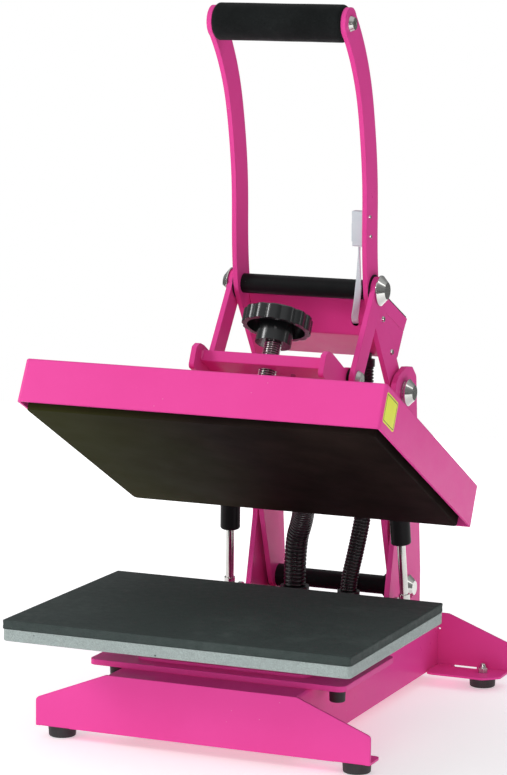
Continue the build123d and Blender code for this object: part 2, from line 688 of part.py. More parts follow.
def button_part(x, label):
    """Round push button on the control panel."""
    with BuildPart() as btn:
        with BuildSketch(PANEL.offset(-3.0)):
            with Locations((x, -24)):
                Circle(6.8)
        extrude(amount=1.5)
        with BuildSketch(PANEL.offset(-1.5)):
            with Locations((x, -24)):
                Circle(5.2)
        extrude(amount=5.4)
        fillet(btn.faces().sort_by(Axis((0, 0, 0), (0, PN[0], PN[1])))[-1].edges(), 0.8)
    btn.part.label = label
    return btn.part


button_set = button_part(-30, "button_set")
button_down = button_part(0, "button_down")
button_up = button_part(30, "button_up")

with BuildPart() as mains_inlet:
    with BuildSketch(REARP.offset(0.1)):
        with Locations((34, 0)):
            RectangleRounded(31, 24.5, 2)
    extrude(amount=2.2)
    with BuildSketch(REARP.offset(0.1)):
        with Locations((34, 0)):
            Rectangle(27, 20)
    extrude(amount=-15.0)
    with BuildSketch(REARP.offset(2.3)):
        with Locations((34, 0)):
            RectangleRounded(24, 16.5, 3)
    extrude(amount=-14.0, mode=Mode.SUBTRACT)
    with BuildSketch(REARP.offset(-11.7)):
        with Locations((27, -1.5), (34, 2.5), (41, -1.5)):
            Rectangle(2.0, 4.0)
    extrude(amount=6.0)
mains_inlet.part.label = "mains_inlet"

with BuildPart() as switch_frame:
    with BuildSketch(REARP.offset(0.1)):
        with Locations((-12, 0)):
            RectangleRounded(22.5, 16, 1.5)
            Rectangle(16.4, 10.4, mode=Mode.SUBTRACT)
    extrude(amount=1.8)
    with BuildSketch(REARP.offset(0.1)):
        with Locations((-12, 0)):
            Rectangle(19.0, 12.8)
            Rectangle(16.4, 10.4, mode=Mode.SUBTRACT)
    extrude(amount=-12.0)
    with BuildSketch(REARP.offset(-13.9)):
        with Locations((-12, 0)):
            Rectangle(19.0, 12.8)
    extrude(amount=2.0)
switch_frame.part.label = "switch_frame"

# rocker of the power switch, resting in its off position
with BuildPart() as power_switch:
    with BuildSketch(Plane(origin=REARP.from_local_coords((-12, 0, -1.5)), x_dir=REARP.x_dir,
                           z_dir=-REARP.y_dir).offset(-4.8)):
        with BuildLine():
            FilletPolyline((-7.4, -2.6), (-7.7, 2.2), (-7.0, 5.6), (0.2, 4.0), (7.0, 2.4), (7.4, -1.2), (4.0, -4.6),
                           (-4.0, -4.6), radius=[0.3, 0.3, 0.8, 6, 0.8, 0.3, 1, 1], close=True)
        make_face()
    extrude(amount=9.6)
power_switch.part.label = "power_switch"

BOX_SCREWS = [(323.5, 424.0), (352.5, 384.5)]
with BuildPart() as handle_screws:
    # button-head bolts into the ends of the grip
    for s in (-1, 1):
        with BuildSketch(Plane.YZ.offset(s * (ARM_IN - 22))):
            with Locations(yz(GRIP)):
                Circle(5.0)
        extrude(amount=s * (ARM_OUT - ARM_IN + 22))
        with BuildSketch(Plane.YZ.offset(s * ARM_OUT)):
            with Locations(yz(GRIP)):
                Circle(8.5)
        extrude(amount=s * 4.5, taper=24)
        with BuildSketch(Plane.YZ.offset(s * (ARM_OUT + 4.5))):
            with Locations(yz(GRIP)):
                RegularPolygon(3.4, 6)
        extrude(amount=-s * 3.0, mode=Mode.SUBTRACT)
    # screws that hold the control box, then the sensor's two screws
    for s in (-1, 1):
        for p in BOX_SCREWS:
            with BuildSketch(Plane.YZ.offset(s * ARM_OUT)):
                with Locations(yz(p)):
                    Circle(3.4)
            extrude(amount=s * 2.0, taper=20)
    for p in ((276.6, 539.0), (279.7, 517.7)):
        with BuildSketch(Plane.YZ.offset(ARM_OUT)):
            with Locations(yz(p)):
                Circle(2.2)
        extrude(amount=1.4, taper=18)
handle_screws.part.label = "handle_screws"

# ------------------------------------------------- closing sensor and its lead
with BuildPart() as closing_sensor:
    with BuildSketch(Plane.YZ.offset(ARM_IN)):
        with BuildLine():
            FilletPolyline((Y(273.5), 507), (Y(284.5), 507.5), (Y(282.0), 545.5), (Y(270.0), 545.0),
                           radius=1.5, close=True)
        make_face()
    extrude(amount=-12.5)
    with BuildSketch(Plane.YZ.offset(ARM_IN - 12.5)):
        with BuildLine():
            FilletPolyline((Y(274.5), 512), (Y(281.0), 512), (Y(279.0), 532), (Y(274.0), 532), radius=1.0, close=True)
        make_face()
    extrude(amount=-1.5)
closing_sensor.part.label = "closing_sensor"

LEAD_D = 4.6
LEAD = [(67.0, Y(277.5), 506.4), (67.5, Y(276.0), 488.0), (67.8, Y(275.0), 462.0),
        (63.0, Y(282.0), 440.0), (54.0, Y(300.0), 424.0), (49.0, Y(319.0), 419.0)]


def smooth_radii(points):
    """Largest tangent arc at each corner: 0.45 of the shorter run."""
    radii = []
    for a, b, c in zip(points, points[1:], points[2:]):
        v1, v2 = Vector(*b) - Vector(*a), Vector(*c) - Vector(*b)
        turn = v1.get_angle(v2)
        radii.append(0.45 * min(v1.length, v2.length) / max(1e-6, sqrt((1 - cos(radians(turn))) / (1 + cos(radians(turn))))))
    return radii


lead_radii = smooth_radii(LEAD)
with BuildPart() as sensor_lead:
    with BuildLine() as lead_path:
        FilletPolyline(*LEAD, radius=lead_radii)
    with BuildSketch(Plane(origin=lead_path.wires()[0] @ 0, z_dir=lead_path.wires()[0] % 0)):
        Circle(LEAD_D / 2)
    sweep()
sensor_lead.part.label = "sensor_lead"
print("sensor lead radii", [round(r, 1) for r in lead_radii], "length", round(lead_path.wires()[0].length, 1),
      "volume ratio", round(sensor_lead.part.volume / (pi * LEAD_D ** 2 / 4 * lead_path.wires()[0].length), 4))

# ------------------------------------------------------------- pressure screw
KNOB_N0 = 135.8
with BuildPart() as pressure_spindle:
    with BuildSketch(HEAT.offset(64.0)):
        with Locations((0, SPIN_U)):
            Circle(9.5)
    extrude(amount=KNOB_N0 - 64.0)
    with BuildSketch(HEAT.offset(KNOB_N0)):
        with Locations((0, SPIN_U)):
            Circle(7.0)
    extrude(amount=30.0)
    # collar that turns in the bearing on the platen
    with BuildSketch(HEAT.offset(64.0)):
        with Locations((0, SPIN_U)):
            Circle(6.5)
    extrude(amount=-9.0)
    with BuildSketch(HEAT.offset(55.0)):
        with Locations((0, SPIN_U)):
            Circle(9.0)
    extrude(amount=-4.0)
pressure_spindle.part.label = "pressure_spindle"

with BuildPart() as pressure_knob:
    # hub
    with BuildSketch(HEAT.offset(KNOB_N0)):
        with Locations((0, SPIN_U)):
            Circle(19.5)
    extrude(amount=22.0)
    # lobed skirt
    with BuildSketch(HEAT.offset(153.5)):
        with Locations((0, SPIN_U)):
            Circle(30.0)
            with PolarLocations(25.5, 14):
                Circle(12.0)
    extrude(amount=16.5)
    chamfer(pressure_knob.faces().sort_by(Axis(heat_pt(0, SPIN_U, 0), (0, S, C)))[-1].outer_wire().edges(), 1.2)
    with BuildSketch(HEAT.offset(153.5)):
        with Locations((0, SPIN_U)):
            Circle(31.5)
            Circle(19.5, mode=Mode.SUBTRACT)
    extrude(amount=12.0, mode=Mode.SUBTRACT)
    # crowned top
    with BuildSketch(HEAT.offset(170.0)):
        with Locations((0, SPIN_U)):
            Circle(32.0)
    extrude(amount=3.4, taper=60)
    with BuildSketch(HEAT.offset(KNOB_N0)):
        with Locations((0, SPIN_U)):
            Circle(7.03)
    extrude(amount=30.2, mode=Mode.SUBTRACT)
pressure_knob.part.label = "pressure_knob"

# ------------------------------------------------------------- upper platen
COVER_T = 2.5
with BuildPart() as platen_cover:
    with BuildSketch(HEAT):
        with Locations((0, COVER_D / 2)):
            RectangleRounded(COVER_W, COVER_D, 3.5)
    extrude(amount=COVER_H)
    fillet(platen_cover.faces().sort_by(Axis((0, 0, 0), (0, S, C)))[-1].edges(), 2.5)
    with BuildSketch(HEAT):
        with Locations((0, COVER_D / 2)):
            RectangleRounded(COVER_W - 2 * COVER_T, COVER_D - 2 * COVER_T, 1.2)
    extrude(amount=COVER_H - COVER_T, mode=Mode.SUBTRACT)
    with BuildSketch(HEAT.offset(COVER_H + 1)):
        with Locations((-150, 40), (150, 40), (-150, 280), (150, 280)):
            Circle(3.1)
    extrude(amount=-8, mode=Mode.SUBTRACT)
    # gland hole in the rear wall
    with BuildSketch(Plane(origin=heat_pt(-8, COVER_D + 4, 19.3), x_dir=(1, 0, 0), z_dir=(0, C, -S))):
        Circle(8.05)
    extrude(amount=-12, mode=Mode.SUBTRACT)
platen_cover.part.label = "platen_cover"

HP_N0, HP_T = -6.0, 12.0
HP_U0, HP_U1 = 7.5, 306.5
with BuildPart() as heating_plate:
    with BuildSketch(HEAT.offset(HP_N0)):
        with Locations((0, (HP_U0 + HP_U1) / 2)):
            RectangleRounded(PLATEN_W, HP_U1 - HP_U0, 6)
    extrude(amount=HP_T)
    fillet(heating_plate.faces().sort_by(Axis((0, 0, 0), (0, S, C)))[0].edges(), 1.5)
    with BuildSketch(HEAT.offset(HP_N0 + HP_T)):
        with Locations((-150, 40), (150, 40), (-150, 280), (150, 280)):
            Circle(3.03)
    extrude(amount=-6.5, mode=Mode.SUBTRACT)
heating_plate.part.label = "heating_plate"

EL_R = 4.0
EL_N = HP_N0 + HP_T + EL_R + 0.1
EL_PTS = [(-45, 292), (-45, 240), (-160, 240), (-160, 60), (160, 60), (160, 240), (45, 240), (45, 292)]
with BuildPart() as heating_element:
    with BuildLine() as el_path:
        FilletPolyline(*[heat_pt(x, u, EL_N) for x, u in EL_PTS], radius=[20, 24, 30, 30, 24, 20])
    with BuildSketch(Plane(origin=el_path.wires()[0] @ 0, z_dir=el_path.wires()[0] % 0)):
        Circle(EL_R)
    sweep()
heating_element.part.label = "heating_element"

with BuildPart() as insulation_board:
    with BuildSketch(HEAT.offset(EL_N + EL_R + 0.4)):
        with Locations((0, (HP_U0 + HP_U1) / 2)):
            RectangleRounded(372, 290, 4)
        with Locations((-150, 40), (150, 40), (-150, 280), (150, 280)):
            Circle(5.5, mode=Mode.SUBTRACT)
        with Locations((0, 285)):
            Rectangle(70, 60, mode=Mode.SUBTRACT)
        with Locations((0, 163)):
            Circle(14, mode=Mode.SUBTRACT)
    extrude(amount=18.0)
insulation_board.part.label = "insulation_board"

with BuildPart() as plate_bolts:
    with BuildSketch(HEAT.offset(HP_N0 + HP_T - 6.0)):
        with Locations((-150, 40), (150, 40), (-150, 280), (150, 280)):
            Circle(3.0)
    extrude(amount=COVER_H - (HP_N0 + HP_T - 6.0))
    with BuildSketch(HEAT.offset(COVER_H)):
        with Locations((-150, 40), (150, 40), (-150, 280), (150, 280)):
            Circle(5.6)
    extrude(amount=3.6)
    fillet(plate_bolts.faces().sort_by(Axis((0, 0, 0), (0, S, C))).filter_by(GeomType.PLANE)[-4:].edges(), 1.2)
plate_bolts.part.label = "plate_bolts"

with BuildPart() as temperature_sensor:
    with BuildSketch(HEAT.offset(HP_N0 + HP_T)):
        with Locations((0, 163)):
            RegularPolygon(6, 6)
    extrude(amount=6.0)
    with BuildSketch(HEAT.offset(HP_N0 + HP_T + 6.0)):
        with Locations((0, 163)):
            Circle(3.0)
    extrude(amount=14.0)
temperature_sensor.part.label = "temperature_sensor"

with BuildPart() as spindle_bearing:
    # two-part housing that holds the spindle collar on the platen
    with BuildSketch(HEAT.offset(COVER_H + 0.1)):
        with Locations((0, SPIN_U)):
            RectangleRounded(86, 56, 6)
    extrude(amount=3.6)
    with BuildSketch(HEAT.offset(COVER_H + 3.7)):
        with Locations((0, SPIN_U)):
            Circle(16)
    extrude(amount=9.0)
    with BuildSketch(HEAT.offset(50.9)):
        with Locations((0, SPIN_U)):
            Circle(9.1)
    extrude(amount=4.3, mode=Mode.SUBTRACT)
    with BuildSketch(HEAT.offset(54.0)):
        with Locations((0, SPIN_U)):
            Circle(6.55)
    extrude(amount=12.0, mode=Mode.SUBTRACT)
spindle_bearing.part.label = "spindle_bearing"

with BuildPart() as guide_pin:
    # stops the platen turning with the spindle
    with BuildSketch(HEAT.offset(COVER_H + 3.7)):
        with Locations((PIN_X, PIN_U)):
            Circle(PIN_R)
    extrude(amount=66.0)
    with BuildSketch(HEAT.offset(COVER_H + 3.7)):
        with Locations((PIN_X, PIN_U)):
            RegularPolygon(5.2, 6)
    extrude(amount=4.0)
guide_pin.part.label = "guide_pin"

# ------------------------------------------------------------- gas springs
SP_LEN = hypot(SPRING_TOP[0] - SPRING_LOW[0], SPRING_TOP[1] - SPRING_LOW[1])


def spring_plane(side):
    low = (side * SP_X0, Y(SPRING_LOW[0]), SPRING_LOW[1])
    d = Vector(side * (SP_X1 - SP_X0), SPRING_TOP[0] - SPRING_LOW[0], SPRING_TOP[1] - SPRING_LOW[1])
    return Plane(origin=low, x_dir=(1, 0, 0), z_dir=d), d.length


def spring_rod_part(side):
    pl, ln = spring_plane(side)
    with BuildPart() as rod:
        with BuildSketch(pl.offset(7.0)):
            Circle(4.7)
        extrude(amount=99.0)
        with BuildSketch(pl.offset(98.0)):
            Circle(8.3)
        extrude(amount=8.0)
        # threaded collar over the eye
        with BuildSketch(pl.offset(7.6)):
            Circle(6.2)
        extrude(amount=7.0)
        with BuildSketch(Plane.YZ.offset(side * (SP_X0 - 4.0))):
            with Locations(yz(SPRING_LOW)):
                Circle(8.0)
        extrude(amount=side * 8.0)
        with BuildSketch(Plane.YZ.offset(side * (SP_X0 - 6.0))):
            with Locations(yz(SPRING_LOW)):
                Circle(4.0 + RUN)
        extrude(amount=side * 12.0, mode=Mode.SUBTRACT)
    return rod.part


def spring_cylinder_part(side):
    pl, ln = spring_plane(side)
    with BuildPart() as cyl:
        with BuildSketch(pl.offset(72.0)):
            Circle(11.2)
        extrude(amount=ln - 72.0 - 14.0)
        fillet(cyl.edges().filter_by(GeomType.CIRCLE), 2.5)
        with BuildSketch(pl.offset(ln - 16.0)):
            Circle(5.5)
        extrude(amount=12.0)
        with BuildSketch(pl.offset(60.0)):
            Circle(4.9)
        extrude(amount=30.0, mode=Mode.SUBTRACT)
        with BuildSketch(pl.offset(76.0)):
            Circle(9.2)
        extrude(amount=ln - 76.0 - 20.0, mode=Mode.SUBTRACT)
        with BuildSketch(Plane.YZ.offset(side * (SP_X1 - 4.0))):
            with Locations(yz(SPRING_TOP)):
                Circle(9.0)
        extrude(amount=side * 8.0)
        with BuildSketch(Plane.YZ.offset(side * (SP_X1 - 6.0))):
            with Locations(yz(SPRING_TOP)):
                Circle(6.4)
        extrude(amount=side * 12.0, mode=Mode.SUBTRACT)
    return cyl.part


gas_spring_rod_left = spring_rod_part(-1)
gas_spring_rod_left.label = "gas_spring_rod_left"
gas_spring_rod_right = spring_rod_part(1)
gas_spring_rod_right.label = "gas_spring_rod_right"
gas_spring_cylinder_left = spring_cylinder_part(-1)
gas_spring_cylinder_left.label = "gas_spring_cylinder_left"
gas_spring_cylinder_right = spring_cylinder_part(1)
gas_spring_cylinder_right.label = "gas_spring_cylinder_right"

with BuildPart() as spring_foot_brackets:
    for s in (-1, 1):
        with BuildSketch(Plane.YZ.offset(s * 92.0)):
            with BuildLine():
                FilletPolyline((Y(322), CHANNEL_TOP), (Y(327), 110), (Y(349), 114), (Y(356), CHANNEL_TOP),
                               radius=[0, 8, 8, 0], close=True)
            make_face()
        extrude(amount=s * 4.0)
        with BuildSketch(Plane.YZ.offset(s * 95.0)):
            with Locations(yz(SPRING_LOW)):
                Circle(4.0)
        extrude(amount=s * 18.5)
        with BuildSketch(Plane.YZ.offset(s * 110.0)):
            with Locations(yz(SPRING_LOW)):
                Circle(6.6)
        extrude(amount=s * 3.5)
spring_foot_brackets.part.label = "spring_foot_brackets"

# ------------------------------------------------------------- conduits
with BuildPart() as base_glands:
    for x, r in ((-31.0, 16.5), (34.0, 12.6)):
        with BuildSketch(Plane.XY.offset(CHANNEL_TOP)):
            with Locations((x, Y(350))):
                RegularPolygon(r + 1.0, 6)
                Circle(5.2, mode=Mode.SUBTRACT)
        extrude(amount=9.0)
        with BuildSketch(Plane.XY.offset(CHANNEL_TOP + 9.0)):
            with Locations((x, Y(350))):
                Circle(r - 1.6)
                Circle(5.2, mode=Mode.SUBTRACT)
        extrude(amount=22.0)
        with BuildSketch(Plane.XY.offset(CHANNEL_TOP + 31.0)):
            with Locations((x, Y(350))):
                Circle(r)
                Circle(5.2, mode=Mode.SUBTRACT)
        extrude(amount=7.0)
        with BuildSketch(Plane.XY.offset(CHANNEL_TOP - 9.0)):
            with Locations((x, Y(350))):
                Circle(8.0)
                Circle(5.2, mode=Mode.SUBTRACT)
        extrude(amount=9.0)
base_glands.part.label = "base_glands"

PG_X, PG_N = -8.0, 19.3
GLAND_P = heat_pt(PG_X, COVER_D, PG_N)
with BuildPart() as platen_gland:
    with BuildSketch(Plane(origin=GLAND_P, x_dir=(1, 0, 0), z_dir=(0, C, -S))):
        RegularPolygon(15.0, 6)
        Circle(5.2, mode=Mode.SUBTRACT)
    extrude(amount=6.0)
    with BuildSketch(Plane(origin=GLAND_P, x_dir=(1, 0, 0), z_dir=(0, C, -S)).offset(6.0)):
        Circle(13.4)
        Circle(5.2, mode=Mode.SUBTRACT)
    extrude(amount=7.2)
    with BuildSketch(Plane(origin=GLAND_P, x_dir=(1, 0, 0), z_dir=(0, C, -S))):
        Circle(8.0)
        Circle(5.2, mode=Mode.SUBTRACT)
    extrude(amount=-8.0)
platen_gland.part.label = "platen_gland"

CG_X = 39.5
with BuildPart() as control_gland:
    with BuildSketch(Plane.XY.offset(GLAND_C[1] - 7.0)):
        with Locations((CG_X, Y(GLAND_C[0]))):
            Circle(10.6)
            Circle(5.2, mode=Mode.SUBTRACT)
    extrude(amount=-8.0)
    with BuildSketch(Plane.XY.offset(GLAND_C[1] - 7.0)):
        with Locations((CG_X, Y(GLAND_C[0]))):
            Circle(7.0)
            Circle(5.2, mode=Mode.SUBTRACT)
    extrude(amount=16.0)
control_gland.part.label = "control_gland"


def tube_part(points, dia, label):
    radii = smooth_radii(points)
    with BuildPart() as tube:
        with BuildLine() as path:
            FilletPolyline(*points, radius=radii)
        with BuildSketch(Plane(origin=path.wires()[0] @ 0, z_dir=path.wires()[0] % 0)):
            Circle(dia / 2)
        sweep()
    print(label, "radii", [round(r, 1) for r in radii], "length", round(path.wires()[0].length, 1),
          "volume ratio", round(tube.part.volume / (pi * dia ** 2 / 4 * path.wires()[0].length), 4))
    tube.part.label = label
    return tube.part


CON_TOP = CHANNEL_TOP + 38.0
pg = heat_pt(PG_X, COVER_D + 13.6, PG_N)
platen_conduit = tube_part([(-31.0, Y(350), CON_TOP), (-31.0, Y(350), 161.7), (-18.0, Y(338.7), 191.2),
                            (-8.0, Y(317.6), 214.6), pg], 25.0, "platen_conduit")
control_conduit = tube_part([(34.0, Y(350), CON_TOP), (34.0, Y(350), 124), (41.6, Y(350), 157), (50.2, Y(350.5), 202), (53.0, Y(354), 248),
                             (49.8, Y(361), 292), (43.2, Y(370), 326), (CG_X, Y(GLAND_C[0]), 346),
                             (CG_X, Y(GLAND_C[0]), GLAND_C[1] - 15.2)], 18.8, "control_conduit")

# ------------------------------------------------------------- export
PARTS = [
    base_channel.part, front_bracket.part, rear_bracket.part, rubber_feet.part, base_fasteners.part,
    sub_plate.part, plate_bumpers.part, platen_pedestal.part, lower_platen.part, silicone_pad.part,
    uprights.part, carrier_shaft.part, pivot_caps.part, handle_pivot_bolts.part,
    carrier_arm_left, carrier_arm_right, cross_bar.part, carrier_tube.part, carrier_bolts.part,
    links.part, link_caps.part,
    handle_arm_left, handle_arm_right, grip_core.part, foam_grip.part, handle_tube.part,
    handle_shaft.part, handle_screws.part, control_box.part, control_panel.part,
    display_window.part, circuit_board.part, button_set, button_down, button_up, mains_inlet.part,
    switch_frame.part, power_switch.part, closing_sensor.part, sensor_lead.part,
    pressure_spindle.part, pressure_knob.part,
    platen_cover.part, heating_plate.part, heating_element.part, insulation_board.part,
    plate_bolts.part, temperature_sensor.part, spindle_bearing.part, guide_pin.part,
    gas_spring_rod_left, gas_spring_rod_right, gas_spring_cylinder_left, gas_spring_cylinder_right,
    spring_foot_brackets.part, base_glands.part, platen_gland.part, control_gland.part,
    platen_conduit, control_conduit,
]
print(len(PARTS), "nodes")
for piece in PARTS:
    export_step(piece, "parts/" + piece.label + ".step")
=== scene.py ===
import bpy
import json
import math
import random
from mathutils import Vector, Matrix, noise


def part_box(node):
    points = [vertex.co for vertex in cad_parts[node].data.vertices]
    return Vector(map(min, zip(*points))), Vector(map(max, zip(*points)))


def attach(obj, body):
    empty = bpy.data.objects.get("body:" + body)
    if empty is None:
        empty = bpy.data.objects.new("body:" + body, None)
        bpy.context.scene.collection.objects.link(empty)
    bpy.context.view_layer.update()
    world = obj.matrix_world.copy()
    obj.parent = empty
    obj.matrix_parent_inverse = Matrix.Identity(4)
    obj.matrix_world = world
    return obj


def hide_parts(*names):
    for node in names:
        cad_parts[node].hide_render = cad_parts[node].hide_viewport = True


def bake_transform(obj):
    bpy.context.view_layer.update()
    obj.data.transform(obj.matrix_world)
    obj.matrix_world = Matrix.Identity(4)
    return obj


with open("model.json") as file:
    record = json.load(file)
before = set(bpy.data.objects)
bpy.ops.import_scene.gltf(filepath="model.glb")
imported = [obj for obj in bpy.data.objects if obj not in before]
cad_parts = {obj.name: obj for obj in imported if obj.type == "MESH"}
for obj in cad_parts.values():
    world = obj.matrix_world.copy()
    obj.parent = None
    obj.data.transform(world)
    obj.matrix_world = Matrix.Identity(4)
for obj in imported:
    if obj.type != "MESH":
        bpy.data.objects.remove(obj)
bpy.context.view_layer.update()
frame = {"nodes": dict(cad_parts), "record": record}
NODES = frame["nodes"]
scene = bpy.context.scene
random.seed(7)

# ------------------------------------------------------------ frame helpers
OPEN = math.radians(27.1)
C, S = math.cos(OPEN), math.sin(OPEN)


def heat_pt(x, u, n):
    """Point on the upper platen, from millimetres across, along and above it, in metres."""
    return Vector((x, -205.6 + u * C + n * S, 358.8 - u * S + n * C)) / 1000.0


HEAT_U = Vector((0.0, C, -S))
HEAT_N = Vector((0.0, S, C))


def mm(x, y, z):
    return Vector((x, y, z)) / 1000.0


# ---------------------------------------------------------------- camera
YAW, PITCH, ROLL = math.radians(22.71), math.radians(8.21), math.radians(0.72)
fwd = Vector((-math.sin(YAW) * math.cos(PITCH), math.cos(YAW) * math.cos(PITCH), -math.sin(PITCH)))
right = Vector((math.cos(YAW), math.sin(YAW), 0.0))
up = right.cross(fwd)
r2 = math.cos(ROLL) * right + math.sin(ROLL) * up
u2 = -math.sin(ROLL) * right + math.cos(ROLL) * up
cam_data = bpy.data.cameras.new("camera")
cam_data.sensor_fit = "AUTO"
cam_data.sensor_width = 36.0
cam_data.lens = 136.43
cam_data.clip_start = 0.05
cam_data.clip_end = 40.0
cam = bpy.data.objects.new("camera", cam_data)
scene.collection.objects.link(cam)
m = Matrix((r2, u2, -fwd)).transposed().to_4x4()
m.translation = Vector((1.17632, -2.86119, 0.80556))
cam.matrix_world = m
scene.camera = cam

scene.view_settings.view_transform = "Standard"
scene.view_settings.look = "None"
scene.view_settings.exposure = 0.0
scene.view_settings.gamma = 1.0


# ------------------------------------------------------------- materials
class Shader:
    """A small builder for procedural materials on the Principled shader."""

    def __init__(self, name, **values):
        self.mat = bpy.data.materials.new(name)
        self.mat.use_nodes = True
        self.nt = self.mat.node_tree
        self.nt.nodes.clear()
        self.out = self.nt.nodes.new("ShaderNodeOutputMaterial")
        self.b = self.nt.nodes.new("ShaderNodeBsdfPrincipled")
        self.nt.links.new(self.b.outputs[0], self.out.inputs[0])
        self.coord = self.nt.nodes.new("ShaderNodeTexCoord").outputs["Object"]
        for k, v in values.items():
            self.b.inputs[k.replace("_", " ")].default_value = v
        self.normal = None

    def link(self, a, b):
        self.nt.links.new(a, b)

    def noise(self, scale, detail=3.0, rough=0.55, vec=None, distortion=0.0):
        n = self.nt.nodes.new("ShaderNodeTexNoise")
        n.inputs["Scale"].default_value = scale
        n.inputs["Detail"].default_value = detail
        n.inputs["Roughness"].default_value = rough
        n.inputs["Distortion"].default_value = distortion
        self.link(vec or self.coord, n.inputs["Vector"])
        return n.outputs["Fac"]

    def voronoi(self, scale, feature="F1", vec=None, randomness=1.0):
        n = self.nt.nodes.new("ShaderNodeTexVoronoi")
        n.feature = feature
        n.inputs["Scale"].default_value = scale
        n.inputs["Randomness"].default_value = randomness
        self.link(vec or self.coord, n.inputs["Vector"])
        return n.outputs["Distance"]

    def ramp(self, value, lo, hi, a=0.0, b=1.0):
        n = self.nt.nodes.new("ShaderNodeMapRange")
        n.inputs["From Min"].default_value = lo
        n.inputs["From Max"].default_value = hi
        n.inputs["To Min"].default_value = a
        n.inputs["To Max"].default_value = b
        n.clamp = True
        self.link(value, n.inputs["Value"])
        return n.outputs["Result"]

    def math(self, op, a, b=None):
        n = self.nt.nodes.new("ShaderNodeMath")
        n.operation = op
        for i, v in enumerate((a, b)):
            if v is None:
                continue
            if isinstance(v, (int, float)):
                n.inputs[i].default_value = v
            else:
                self.link(v, n.inputs[i])
        return n.outputs[0]

    def scaled(self, sx, sy, sz, rot=(0, 0, 0)):
        n = self.nt.nodes.new("ShaderNodeMapping")
        n.inputs["Scale"].default_value = (sx, sy, sz)
        n.inputs["Rotation"].default_value = rot
        self.link(self.coord, n.inputs["Vector"])
        return n.outputs["Vector"]

    def mix(self, fac, c1, c2):
        n = self.nt.nodes.new("ShaderNodeMix")
        n.data_type = "RGBA"
        self.link(fac, n.inputs["Factor"])
        for sock, v in ((n.inputs["A"], c1), (n.inputs["B"], c2)):
            if isinstance(v, tuple):
                sock.default_value = (*v, 1.0)
            else:
                self.link(v, sock)
        return n.outputs["Result"]

    def color(self, out):
        self.link(out, self.b.inputs["Base Color"])

    def rough(self, out):
        self.link(out, self.b.inputs["Roughness"])

    def bump(self, height, distance, strength=1.0):
        n = self.nt.nodes.new("ShaderNodeBump")
        n.inputs["Distance"].default_value = distance
        n.inputs["Strength"].default_value = strength
        self.link(height, n.inputs["Height"])
        if self.normal is not None:
            self.link(self.normal, n.inputs["Normal"])
        self.normal = n.outputs["Normal"]
        self.link(self.normal, self.b.inputs["Normal"])

    def bevel(self, radius, samples=4):
        n = self.nt.nodes.new("ShaderNodeBevel")
        n.samples = samples
        n.inputs["Radius"].default_value = radius
        self.normal = n.outputs["Normal"]
        self.link(self.normal, self.b.inputs["Normal"])


def paint(name, base, dark, light, rough, peel=1.0, radius=0.0009, coat=0.08):
    """Powder coat: orange peel, faint mottling, dust-fine speckle and softened edges."""
    s = Shader(name, Coat_Weight=coat, Coat_Roughness=0.14, Coat_IOR=1.3, IOR=1.15)
    s.bevel(radius)
    large = s.noise(9.0, 4.0, 0.6)
    fine = s.noise(420.0, 2.0, 0.5)
    c = s.mix(s.ramp(large, 0.3, 0.7), dark, base)
    c = s.mix(s.ramp(fine, 0.62, 0.78, 0.0, 0.35), c, light)
    specks = s.ramp(s.voronoi(260.0), 0.0, 0.07, 0.5, 0.0)
    c = s.mix(specks, c, tuple(v * 0.72 for v in dark))
    dust = s.math("MULTIPLY", s.ramp(s.voronoi(70.0), 0.02, 0.04, 1.0, 0.0), s.ramp(s.noise(11.0, 2.0), 0.52, 0.60))
    c = s.mix(s.math("MULTIPLY", dust, 0.7), c, tuple(0.5 * v + 0.42 for v in light))
    s.color(c)
    s.rough(s.math("ADD", s.ramp(s.noise(35.0, 3.0), 0.3, 0.7, rough - 0.05, rough + 0.06),
                   s.ramp(s.noise(300.0, 2.0), 0.4, 0.7, -0.02, 0.04)))
    s.bump(s.noise(650.0, 1.5, 0.5), 0.00016 * peel, 0.30)
    s.bump(s.noise(140.0, 1.0, 0.5), 0.00030 * peel, 0.10)
    return s.mat


PINK = paint("pink_paint", (0.860, 0.078, 0.372), (0.825, 0.068, 0.342), (0.890, 0.096, 0.412), 0.34)
BLACK_PAINT = paint("black_paint", (0.013, 0.014, 0.0145), (0.009, 0.010, 0.010), (0.026, 0.027, 0.028), 0.36, 0.7)


def metal(name, base, dark, rough, brushed=(1.0, 1.0, 1.0), brush_scale=0.0, radius=0.0005, scuff=0.25,
          bump=0.00002):
    s = Shader(name, Metallic=1.0)
    s.bevel(radius)
    c = s.mix(s.ramp(s.noise(28.0, 5.0, 0.65), 0.35, 0.75), base, dark)
    s.color(c)
    r = s.ramp(s.noise(60.0, 5.0, 0.7), 0.3, 0.8, rough * 0.75, rough * 1.5)
    if brush_scale:
        line = s.noise(brush_scale, 3.0, 0.6, vec=s.scaled(*brushed))
        r = s.math("ADD", r, s.ramp(line, 0.35, 0.75, -0.03, 0.07))
        s.bump(line, bump, 0.35)
    scratches = s.ramp(s.noise(30.0, 6.0, 0.85, vec=s.scaled(22.0, 1.6, 1.6), distortion=0.4), 0.66, 0.70, 0.0, scuff * 0.25)
    s.rough(s.math("ADD", r, scratches))
    return s.mat


CHROME = metal("bright_plate", (0.66, 0.665, 0.63), (0.52, 0.53, 0.50), 0.13)
THREAD = metal("screw_thread", (0.66, 0.66, 0.64), (0.40, 0.40, 0.38), 0.16, radius=0.00008)
# darker, rougher metal for the faces deep in the spindle's thread grooves
GROOVE_METAL = metal("dark_groove_metal", (0.10, 0.10, 0.095), (0.05, 0.05, 0.045), 0.34, radius=0.00008)
ZINC = metal("zinc_plate", (0.62, 0.61, 0.58), (0.45, 0.45, 0.43), 0.30)
BRASS = metal("turned_brass", (0.78, 0.57, 0.26), (0.62, 0.43, 0.18), 0.22)
MACHINED = metal("machined_aluminium", (0.80, 0.81, 0.81), (0.68, 0.69, 0.70), 0.25, (1, 30, 30), 60.0)


